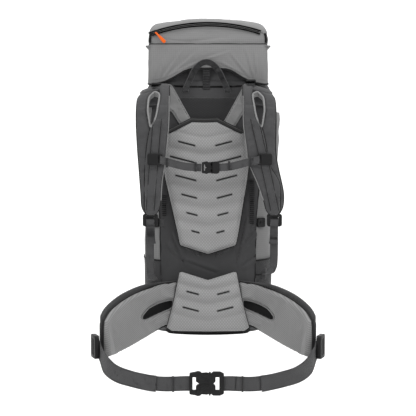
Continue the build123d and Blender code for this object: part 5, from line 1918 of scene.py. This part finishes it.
# ---------------------------------------------------------------------------------------- hip belt
@dataclass
class HipFin(Part):
    """Curved hip fin: a pale ribbed pad in a dark shell, with its ventilation slot."""

    side: int
    name: str
    path: tuple[Point2, ...] = ((78.0, -20.0), (118.0, -20.0), (158.0, -42.0), (204.0, -88.0),
                                (235.0, -130.0), (250.0, -170.0))
    low: tuple[float, ...] = (30.0, 16.0, -4.0, -22.0, -30.0, -31.0)
    high: tuple[float, ...] = (134.0, 128.0, 118.0, 100.0, 80.0, 58.0)
    slot: tuple[Point2, ...] = ((87.0, 90.0), (90.0, 66.0), (131.0, 51.0), (158.0, 40.0), (168.0, 42.0),
                                (169.0, 52.0), (153.0, 70.0), (124.0, 82.0))
    hinge_x: float = 118.0

    def line(self) -> np.ndarray:
        """Plan of the fin's middle, sampled evenly by the millimetre."""
        return smooth_path(self.path, 1.0)

    def place(self, out: float) -> Profile2:
        """Give the map from the flat pattern (run, height) to the curved fin.

        Args:
            out: How far the layer lies towards the wearer from the fin's middle.

        Returns:
            Function of flat points and heights above the layer.
        """
        line = self.line()
        length = np.arange(len(line)) * np.linalg.norm(line[1] - line[0])
        along = directions(line)

        def put(points: np.ndarray, rise: np.ndarray) -> np.ndarray:
            x = np.interp(points[:, 0], length, line[:, 0])
            y = np.interp(points[:, 0], length, line[:, 1])
            dx = np.interp(points[:, 0], length, along[:, 0])
            dy = np.interp(points[:, 0], length, along[:, 1])
            size = np.hypot(dx, dy)
            reach = (out + rise) / size
            return np.column_stack([self.side * (x + dy * reach), y - dx * reach, points[:, 1]])
        return put

    def run(self, x: float) -> float:
        """Run along the fin at a distance from the middle of the bag."""
        line = self.line()
        length = np.arange(len(line)) * np.linalg.norm(line[1] - line[0])
        return float(np.interp(x, line[:, 0], length))

    def outline(self, grow: float, end: float, lift: float = 0.0) -> np.ndarray:
        """Flat outline of the fin, grown by a margin and lifted along the outer half of its top."""
        runs = [self.run(x) for x, _ in self.path]
        lower = smooth_path([(r, z - grow) for r, z in zip(runs, self.low)], 5.0)
        upper = smooth_path([(r, z + grow + lift * float(np.interp(r, [30.0, 110.0], [0.0, 1.0])))
                             for r, z in zip(runs, self.high)], 5.0)[::-1]
        lower[:, 0] = np.minimum(lower[:, 0], end)
        upper[:, 0] = np.minimum(upper[:, 0], end)
        tip = [(end + 2.0, self.low[-1] + 14), (end + 2.5, (self.low[-1] + self.high[-1]) / 2),
               (end + 2.0, self.high[-1] - 14)]
        ring = even(np.vstack([lower[:-1], tip, upper[1:], lower[:1]]), 7.0)[:-1]
        return closed_path(ring, 3.0, 0.5)

    def build(self) -> None:
        """Make the pad, shell, slot lining and binding."""
        palette = self.palette
        end = self.run(self.path[-1][0]) - 1.0
        slot = [(self.run(x), z) for x, z in self.slot]
        hole = closed_path(slot, 2.5, 0.4)
        outline = self.outline(-1.0, end - 2)
        pad = Pillow(f"{self.name}_fin_mesh", outline, 20.0, self.place(2.0),
                     holes=[hole], round_edge=10.0, back=0.45, step=2.6,
                     relief=lambda r, z: 0.6 * np.sin(r / 31.0 + z / 27.0)).build()
        # Painted shade: the shell is painted near-black over an outline a little larger than the slot, for
        # the shade seen through the slot; its face is not sunk.
        shade = closed_path(slot, 6.0, 0.4)
        shell = Pillow(f"{self.name}_fin_shell_cloth", self.outline(2.0, end, 12.0), 7.0,
                       self.place(-10.5), round_edge=4.0, back=0.5, step=3.5, slit_depth=0.0,
                       slit_shade=lambda r, z: 0.8 * inside(np.column_stack([r, z]), shade)).build()
        settle(pad, 5.0)
        for piece, material, slot, node in (
                (pad, palette.ribbed, "pad_mesh", f"{self.name}_fin_pad"),
                (shell, palette.dark, "shell_fabric_dark", f"{self.name}_fin_shell")):
            self.bend(piece, material, slot)
            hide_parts(node)
        if self.side < 0:
            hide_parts("fin_roots")
        rim = self.place(2.0)(outline, np.full(len(outline), -6.0))
        self.bend(from_curve(f"{self.name}_fin_binding", [rim], closed=True, radius=3.0),
                  palette.binding, "shell_fabric_dark")
        lip = self.place(2.0)(hole, np.full(len(hole), 3.0))
        self.bend(from_curve(f"{self.name}_slot_binding", [lip], closed=True, radius=1.8),
                  palette.lining, "pad_mesh")
        self.lock()

    def bend(self, piece: bpy.types.Object, material: bpy.types.Material, slot: str) -> None:
        """Give a piece its finish and fix its place in its mesh."""
        piece.data.materials.append(material)
        start = DATUM.place(self.side * (self.hinge_x - 12), -7.0, 60.0)
        end = DATUM.place(self.side * (self.hinge_x + 12), -7.0, 60.0)
        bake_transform(piece)

    def lock(self) -> None:
        """Make the ladder lock at the fin's tip."""
        low, high = DATUM.box(f"{self.name}_belt_lock")
        x, y, z = (low + high) / 2
        half = (high - low) / 2
        rings = [box_path(half[1], half[2], 1.5, 0.75)]
        rings += [box_path(3.6, 20.5, 1.5, 0.7, (half[1] * share, 0.0)) for share in (-0.42, 0.34)]
        paths = [stand(ring, (0.0, 0.0, 0.0)) for ring in rings]
        made = from_curve(f"{self.name}_belt_lock_frame", paths, closed=True, radius=1.4,
                          extrude=half[0] - 2.2, sharp=40)
        swing = math.radians(22.0)
        reshape(made, lambda p: np.column_stack(
            [x + self.side * (6.0 + p[:, 0] * math.sin(swing) - p[:, 1] * math.cos(swing)),
             y + p[:, 0] * math.cos(swing) + p[:, 1] * math.sin(swing), z + p[:, 2]]))
        if self.side > 0:
            made.data.flip_normals()
        weld(made, 0.01)
        finish(made, self.palette.acetal, f"hip_{self.name}",
               [f"{self.name}_belt_lock"])


@dataclass
class HipBelt(Part):
    """Hip belt webbing with its tails, keepers and the large side-release buckle."""

    width: float = 38.0
    thick: float = 2.2
    path: tuple[Point3, ...] = ((264.0, -174.0, 2.0), (256.0, -192.0, -16.0), (238.0, -225.0, -38.0),
                                (213.0, -252.0, -50.0), (178.0, -272.0, -57.0),
                                (140.0, -288.0, -62.0), (100.0, -297.0, -64.0))
    buckle: Point3 = (0.0, -300.0, -62.0)
    left: float = -41.0
    right: float = 36.0

    def build(self) -> None:
        """Make both webbings with tails and keepers, and the buckle's halves."""
        palette = self.palette
        for side, name, end, tail_x in ((-1, "left", -self.left - 6, 119.0), (1, "right", self.right - 6,
                                                                             123.0)):
            points = [(side * x, y, z) for x, y, z in self.path]
            points += [(side * (end + 22), self.buckle[1], self.buckle[2]),
                       (side * end, self.buckle[1], self.buckle[2])]
            tilt = [(0.0, 0.0, 1.0)] * 2 + [(0.0, 0.35, 1.0), (0.0, 0.2, 1.0)] \
                + [(0.0, 0.0, 1.0)] * (len(points) - 4)
            web = ribbon(f"{name}_belt_web", points, self.width - 3.0, self.thick, tilt,
                         ripple=1.0 if side > 0 else 0.5)
            finish(web, palette.webbing, f"hip_{name}", [f"{name}_belt_webbing"])
            over = [(side * x, y - 1.4 - 1.8 * min(k, 2) / 2, z) for k, (x, y, z)
                    in enumerate(self.path[:-1])] + [(side * tail_x, -297.0, -63.5)]
            tail = ribbon(f"{name}_belt_tail", over, self.width + 1.0, self.thick, tilt[:len(over)],
                          step=2.5, ripple=0.9 if side > 0 else 0.3)
            finish(tail, palette.webbing, f"hip_{name}")
            self.keeper(side, name, 80.0)
        self.halves()

    def keeper(self, side: int, name: str, at: float) -> None:
        """Make the elastic keeper that holds a tail to its webbing."""
        x = side * at
        y = -299.5
        z = self.buckle[2] - 1.5
        half = self.width / 2 - 1.4
        ring = [(x, y + 3.0, z - half), (x, y - 1.6, z - half), (x, y - 2.0, z), (x, y - 1.6, z + half),
                (x, y + 3.0, z + half)]
        band = ribbon(f"{name}_belt_keeper", ring, 4.0, 1.6, step=1.5)
        finish(band, self.palette.webbing, f"hip_{name}")

    def halves(self) -> None:
        """Make the buckle's socket and plug."""
        x = (self.left + self.right) / 2
        SideRelease(self.palette, "hip", (x, self.buckle[1], self.buckle[2]), self.right - self.left,
                    54.0, 14.0, "hip_left", "hip_right", ("hip_buckle_socket",),
                    ("hip_buckle_plug",)).build()


# ---------------------------------------------------------------------------------------- small parts
@dataclass
class HaulLoop(Part):
    """Grab loop of folded webbing and the stitched hang tape behind it."""

    half: tuple[Point2, ...] = ((53.0, 618.0), (42.0, 642.0), (29.0, 668.0), (14.0, 683.0), (0.0, 687.5))
    foot: float = 612.0
    hang: float = 4.0

    def build(self) -> None:
        """Make the loop, its feet and stitches, and the hang tape."""
        palette = self.palette
        reach = self.half[0][0]
        line = [(-x - self.hang, z) for x, z in self.half]
        line += [(x - self.hang, z) for x, z in self.half[-2::-1]]
        points = [(x, -21.5, z) for x, z in line]
        across = [(-0.75 * dz, -0.55, 0.75 * dx) for dx, dz in directions(np.array(line))]
        points = [(-reach - self.hang, -15.0, self.foot + 2)] + points \
            + [(reach - self.hang, -15.0, self.foot + 2)]
        across = [(-0.9, -0.4, 0.0)] + across + [(0.9, -0.4, 0.0)]
        loop = ribbon("haul_loop_webbing", points, 17.0, 3.4, across, step=2.5)
        finish(loop, palette.tape, "haul_loop", ["haul_loop"])
        for side, name in SIDES:
            x = side * reach - self.hang
            foot = ribbon(f"haul_{name}_foot", [(x, -17.0, self.foot + 12), (x, -9.0, self.foot + 4),
                                                (x, -2.6, self.foot + 1)], 17.0, 2.6, step=1.5)
            finish(foot, palette.tape, "haul_loop")
        x = -self.hang
        tape = ribbon("hang_tape_webbing", [(x, -12.8, 684.0), (x, -12.6, 672.0), (x, -3.0, 642.0),
                                            (x, -2.2, 636.0), (x, -1.6, 619.0)], 18.0, 1.6, step=2.0)
        finish(tape, palette.tape, "root", ["hang_tape"])
        bars = []
        for z in np.arange(622.0, 682.0, 4.0):
            y = float(np.interp(z, [619.0, 636.0, 642.0, 672.0, 684.0], [-2.9, -3.4, -4.2, -13.8, -14.0]))
            bars.append(np.array([(x - 7.0, y, z), (x + 7.0, y, z)]))
        ladder = self.beads.along("hang_tape_ladder", bars, 2.0, (1.1, 0.8, 2.0), REARWARD,
                                  palette.thread)
        finish(ladder, palette.thread, "root")
        # Painted shade: this black seam band below the rear flap is also the shade between the flap and the
        # bag.
        seam = ribbon("upper_back_seam_and_shade", [(-88.0, -1.0, 628.0), (-40.0, -1.4, 626.5), (0.0, -1.4, 626.0),
                                          (40.0, -1.4, 626.5), (88.0, -1.0, 628.0)], 5.0, 1.2,
                      ALONG_Z)
        finish(seam, palette.binding, "root")


@dataclass
class SidePockets(Part):
    """Stretch pockets on the sides and the compression straps above them."""

    body: BagBody
    bulge: float = 13.0
    back: float = 6.0
    front: float = 196.0
    low: float = 8.0
    high: float = 190.0

    def build(self) -> None:
        """Make both pockets and the four compression straps with their locks."""
        for side, name in SIDES:
            self.pocket(side, name)
            for k, height in enumerate(self.body.strap_heights):
                self.compression(side, name, k, height)

    def pocket(self, side: int, name: str) -> None:
        """Make one pocket as a stretched sheet bound along its top."""
        rows = []
        at = np.linspace(0, 1, 56)
        for z in np.linspace(self.low, self.high, 40):
            share = (z - self.low) / (self.high - self.low)
            line = even(self.body.half_contour(z), 1.0)
            line = even(line[(line[:, 1] >= self.back) & (line[:, 1] <= self.front)], 1.0)
            where = at * (len(line) - 1)
            line = np.column_stack([np.interp(where, np.arange(len(line)), line[:, k]) for k in (0, 1)])
            ahead = directions(line)
            out = 0.8 + self.bulge * np.sin(math.pi * at) ** 0.5 * (0.25 + 0.75 * min(share * 3, 1.0))
            line = line + np.column_stack([ahead[:, 1], -ahead[:, 0]]) * out[:, None]
            rows.append(np.column_stack([side * line[:, 0], line[:, 1], z + 10 * (at - 0.5) * share]))
        rows = np.array(rows)
        flat = rows.reshape(-1, 3)
        rows = push_out(rows, (1.4 * crumple(flat, 30.0, 2.0 + side)).reshape(rows.shape[:2]) - 0.6,
                        (float(side), 0.0, 0.0))
        finish(open_grid(f"{name}_pocket_mesh", rows, thick=1.4), self.palette.stretch, "root",
               [f"{name}_side_pocket"])
        hems = [rows[-1]] if side < 0 else [rows[-1], rows[-9] + np.array([1.0, -1.0, 0.0])]
        finish(from_curve(f"{name}_pocket_hem", hems, radius=2.2), self.palette.binding, "root")

    def compression(self, side: int, name: str, k: int, height: float) -> None:
        """Make one compression strap round the side, with its ladder lock."""
        half = float(np.interp(height, self.body.heights, self.body.widths)) / 2
        line = self.body.half_contour(height)
        line = even(line[(line[:, 1] > 2.0) & (line[:, 1] < 222.0)], 10.0)
        points = [(side * (x - self.body.pull_in * 0.2 + 1.2), y - 1.0, height) for x, y in line]
        web = ribbon(f"{name}_compression_strap_{k}", points, 20.0, 1.6, ALONG_Z, ripple=0.2)
        nodes = ["compression_straps", "compression_locks"] if side > 0 and k == 1 else []
        finish(web, self.palette.webbing, "root", nodes)
        lock = LadderLock(self.palette, width=22.0, height=24.0)
        made = lock.build(f"{name}_compression_lock_{k}", np.array([0.0, 0.0, 0.0]))
        swing = math.radians(40.0)
        reach = self.body.corner
        x = half - reach + (reach + 3.5) * math.sin(swing)
        y = reach - (reach + 3.5) * math.cos(swing)
        reshape(made, lambda p: np.column_stack(
            [side * (x + p[:, 2] * math.cos(swing) - p[:, 1] * math.sin(swing)),
             y + p[:, 2] * math.sin(swing) + p[:, 1] * math.cos(swing), height + p[:, 0]]))
        weld(made, 0.01)
        finish(made, self.palette.acetal, "root")
        if k == 0:
            self.ladder_tape(side, name)

    def ladder_tape(self, side: int, name: str) -> None:
        """Make the tape that covers a compression strap's seam, with its ladder of bar tacks."""
        x = side * 111.5
        low, high = (300.0, 352.0) if side < 0 else (280.0, 392.0)
        tape = ribbon(f"{name}_ladder_tape", [(x, -2.2, low), (x, -2.6, (low + high) / 2), (x, -2.2, high)],
                      12.0, 1.6)
        finish(tape, self.palette.tape, "root")
        bars = [np.array([(x - 4.5, -3.4, z), (x + 4.5, -3.4, z)]) for z in np.arange(low + 4, high, 5.0)]
        tacks = self.beads.along(f"{name}_ladder_tacks", bars, 2.0, (1.0, 0.8, 2.0), REARWARD,
                                 self.palette.thread)
        finish(tacks, self.palette.thread, "root")


@dataclass
class FrontFace(Part):
    """Straps, buckles and zip on the front of the bag."""

    strap_x: float = 76.0

    def build(self) -> None:
        """Make the lid straps and their buckles, the lower straps and the bottom zip."""
        palette = self.palette
        for side, name in SIDES:
            x = side * self.strap_x
            upper = ribbon(f"{name}_lid_strap", [(x, 285.0, 748.0), (x, 296.5, 742.0), (x, 303.0, 728.0),
                                                 (x, 311.0, 712.0), (x, 311.0, 706.0)], 20.0, 1.6,
                           step=2.0)
            finish(upper, palette.webbing, "lid", ["lid_straps"] if side > 0 else [])
            lower = ribbon(f"{name}_front_strap", [(x, 309.5, 680.0), (x, 306.0, 668.0), (x, 297.0, 639.0),
                                                   (x, 280.0, 610.0), (x, 272.0, 592.0), (x, 274.5, 560.0),
                                                   (x, 275.6, 530.0), (x, 272.5, 420.0), (x, 269.6, 300.0),
                                                   (x, 266.5, 236.0)], 20.0, 1.6)
            finish(lower, palette.webbing, "root", ["front_straps"] if side > 0 else [])
        for node in ("lid_buckle_sockets", "lid_buckle_plugs", "compression_locks", "cord_lock_barrel",
                     "cord_lock_button"):
            dress(node, palette.acetal)
        for node, material in (("front_zip_slider", palette.zinc), ("front_zip_pull", palette.orange),
                               ("frame_sheet", palette.sheet), ("frame_stays", palette.aluminium),
                               ("cord_lock_spring", palette.steel),
                               ("lid_floor", palette.ripstop), ("collar_drawcord", palette.binding)):
            dress(node, material)
        low, high = DATUM.box("front_zip_tape")
        front, z = high[1], (low[2] + high[2]) / 2
        tape = ribbon("front_zip_band", [(-95.0, front - 1.2, z), (0.0, front - 0.6, z),
                                         (95.0, front - 1.2, z)], 16.0, 1.2, ALONG_Z)
        finish(tape, palette.binding, "root", ["front_zip_tape"])
        coil = self.beads.along("front_zip_coil", [np.array([(-94.0, front, z), (94.0, front, z)])], 1.9,
                                (5.4, 1.0, 1.4), (0.0, 1.0, 0.0), palette.coil)
        finish(coil, palette.coil, "root")


# ---------------------------------------------------------------------------------------- studio
@dataclass
class Studio:
    """Pale floor, soft lights and the camera."""

    palette: Palette
    distance: float = 2.9
    azimuth: float = 0.1
    elevation: float = 4.5
    lens: float = 98.8
    aim_z: float = 320.0
    clearance: float = 0.3

    def build(self) -> None:
        """Set up the floor, the world, the lights and the camera."""
        low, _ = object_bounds()
        mesh = bpy.data.meshes.new("studio_floor")
        height, radius, depth = low.z - self.clearance, 1.6, 1.8
        turns = np.linspace(0, math.pi / 2, 24)
        profile = [(-5.0, height)] + [(depth + radius * math.sin(t), height + radius * (1 - math.cos(t)))
                                      for t in turns] + [(depth + radius, height + 5.0)]
        mesh.from_pydata([(x, y, z) for y, z in profile for x in (-6.0, 6.0)], [],
                         [(2 * i, 2 * i + 1, 2 * i + 3, 2 * i + 2) for i in range(len(profile) - 1)])
        mesh.shade_smooth()
        ground = bpy.data.objects.new("studio_floor", mesh)
        bpy.context.scene.collection.objects.link(ground)
        mesh.materials.append(self.palette.floor)
        ground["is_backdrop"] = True
        world = bpy.data.worlds.new("studio_world")
        bpy.context.scene.world = world
        world.use_nodes = True
        world.node_tree.nodes.clear()
        sky = add(world.node_tree, "ShaderNodeBackground", {"Color": (1.0, 1.0, 1.0, 1.0),
                                                            "Strength": 0.75})
        add(world.node_tree, "ShaderNodeOutputWorld", links={0: sky.outputs[0]})
        self.light("key_softbox", (-1.2, -2.0, 1.5), 1.0, 17.0)
        self.light("fill_softbox", (1.4, -1.9, 1.0), 1.2, 12.0)
        self.light("top_softbox", (0.3, -0.5, 2.2), 1.2, 26.0)
        self.light("backdrop_softbox", (0.0, 1.0, 1.9), 1.6, 60.0, (0.0, 3.2, 0.1))
        bpy.context.scene.view_settings.view_transform = "Standard"
        self.camera()

    def light(self, name: str, place: Point3, size: float, power: float,
              aim: Point3 = (0.0, 0.0, -0.35)) -> None:
        """Make a square softbox that faces a point, by default the middle of the bag."""
        data = bpy.data.lights.new(name, "AREA")
        data.shape = "SQUARE"
        data.size = size
        data.energy = power
        lamp = bpy.data.objects.new(name, data)
        bpy.context.scene.collection.objects.link(lamp)
        lamp.location = place
        lamp.rotation_euler = (Vector(aim) - Vector(place)).to_track_quat("-Z", "Y").to_euler()
        lamp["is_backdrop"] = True

    def camera(self) -> None:
        """Place the camera at the catalogue view of the harness side."""
        data = bpy.data.cameras.new("catalogue_camera")
        data.lens = self.lens
        data.sensor_width = 36.0
        data.clip_end = 30.0
        made = bpy.data.objects.new("catalogue_camera", data)
        bpy.context.scene.collection.objects.link(made)
        turn, rise = math.radians(self.azimuth), math.radians(self.elevation)
        back = Vector((math.sin(turn) * math.cos(rise), -math.cos(turn) * math.cos(rise), math.sin(rise)))
        aim = DATUM.place(0.0, 0.0, self.aim_z)
        made.location = aim + back * self.distance
        made.rotation_euler = (-back).to_track_quat("-Z", "Y").to_euler()
        bpy.context.scene.camera = made


def main() -> None:
    """Build every sub-assembly in order."""
    logging.basicConfig(level=logging.INFO, format="%(message)s")
    palette = Palette()
    beads = Beads()
    body = BagBody(palette, beads)
    parts = [body, Lid(palette, beads), BackPad(palette, beads), LumbarPad(palette, beads),
             Yoke(palette, beads), ShoulderStraps(palette, beads), StrapWebbing(palette, beads),
             SternumStrap(palette, beads), HipFin(palette, beads, -1, "left"),
             HipFin(palette, beads, 1, "right"), HipBelt(palette, beads), HaulLoop(palette, beads),
             SidePockets(palette, beads, body), FrontFace(palette, beads)]
    for part in parts:
        part.build()
        LOG.info("built %s", type(part).__name__)
    Studio(palette).build()


if __name__ == "__main__":
    main()
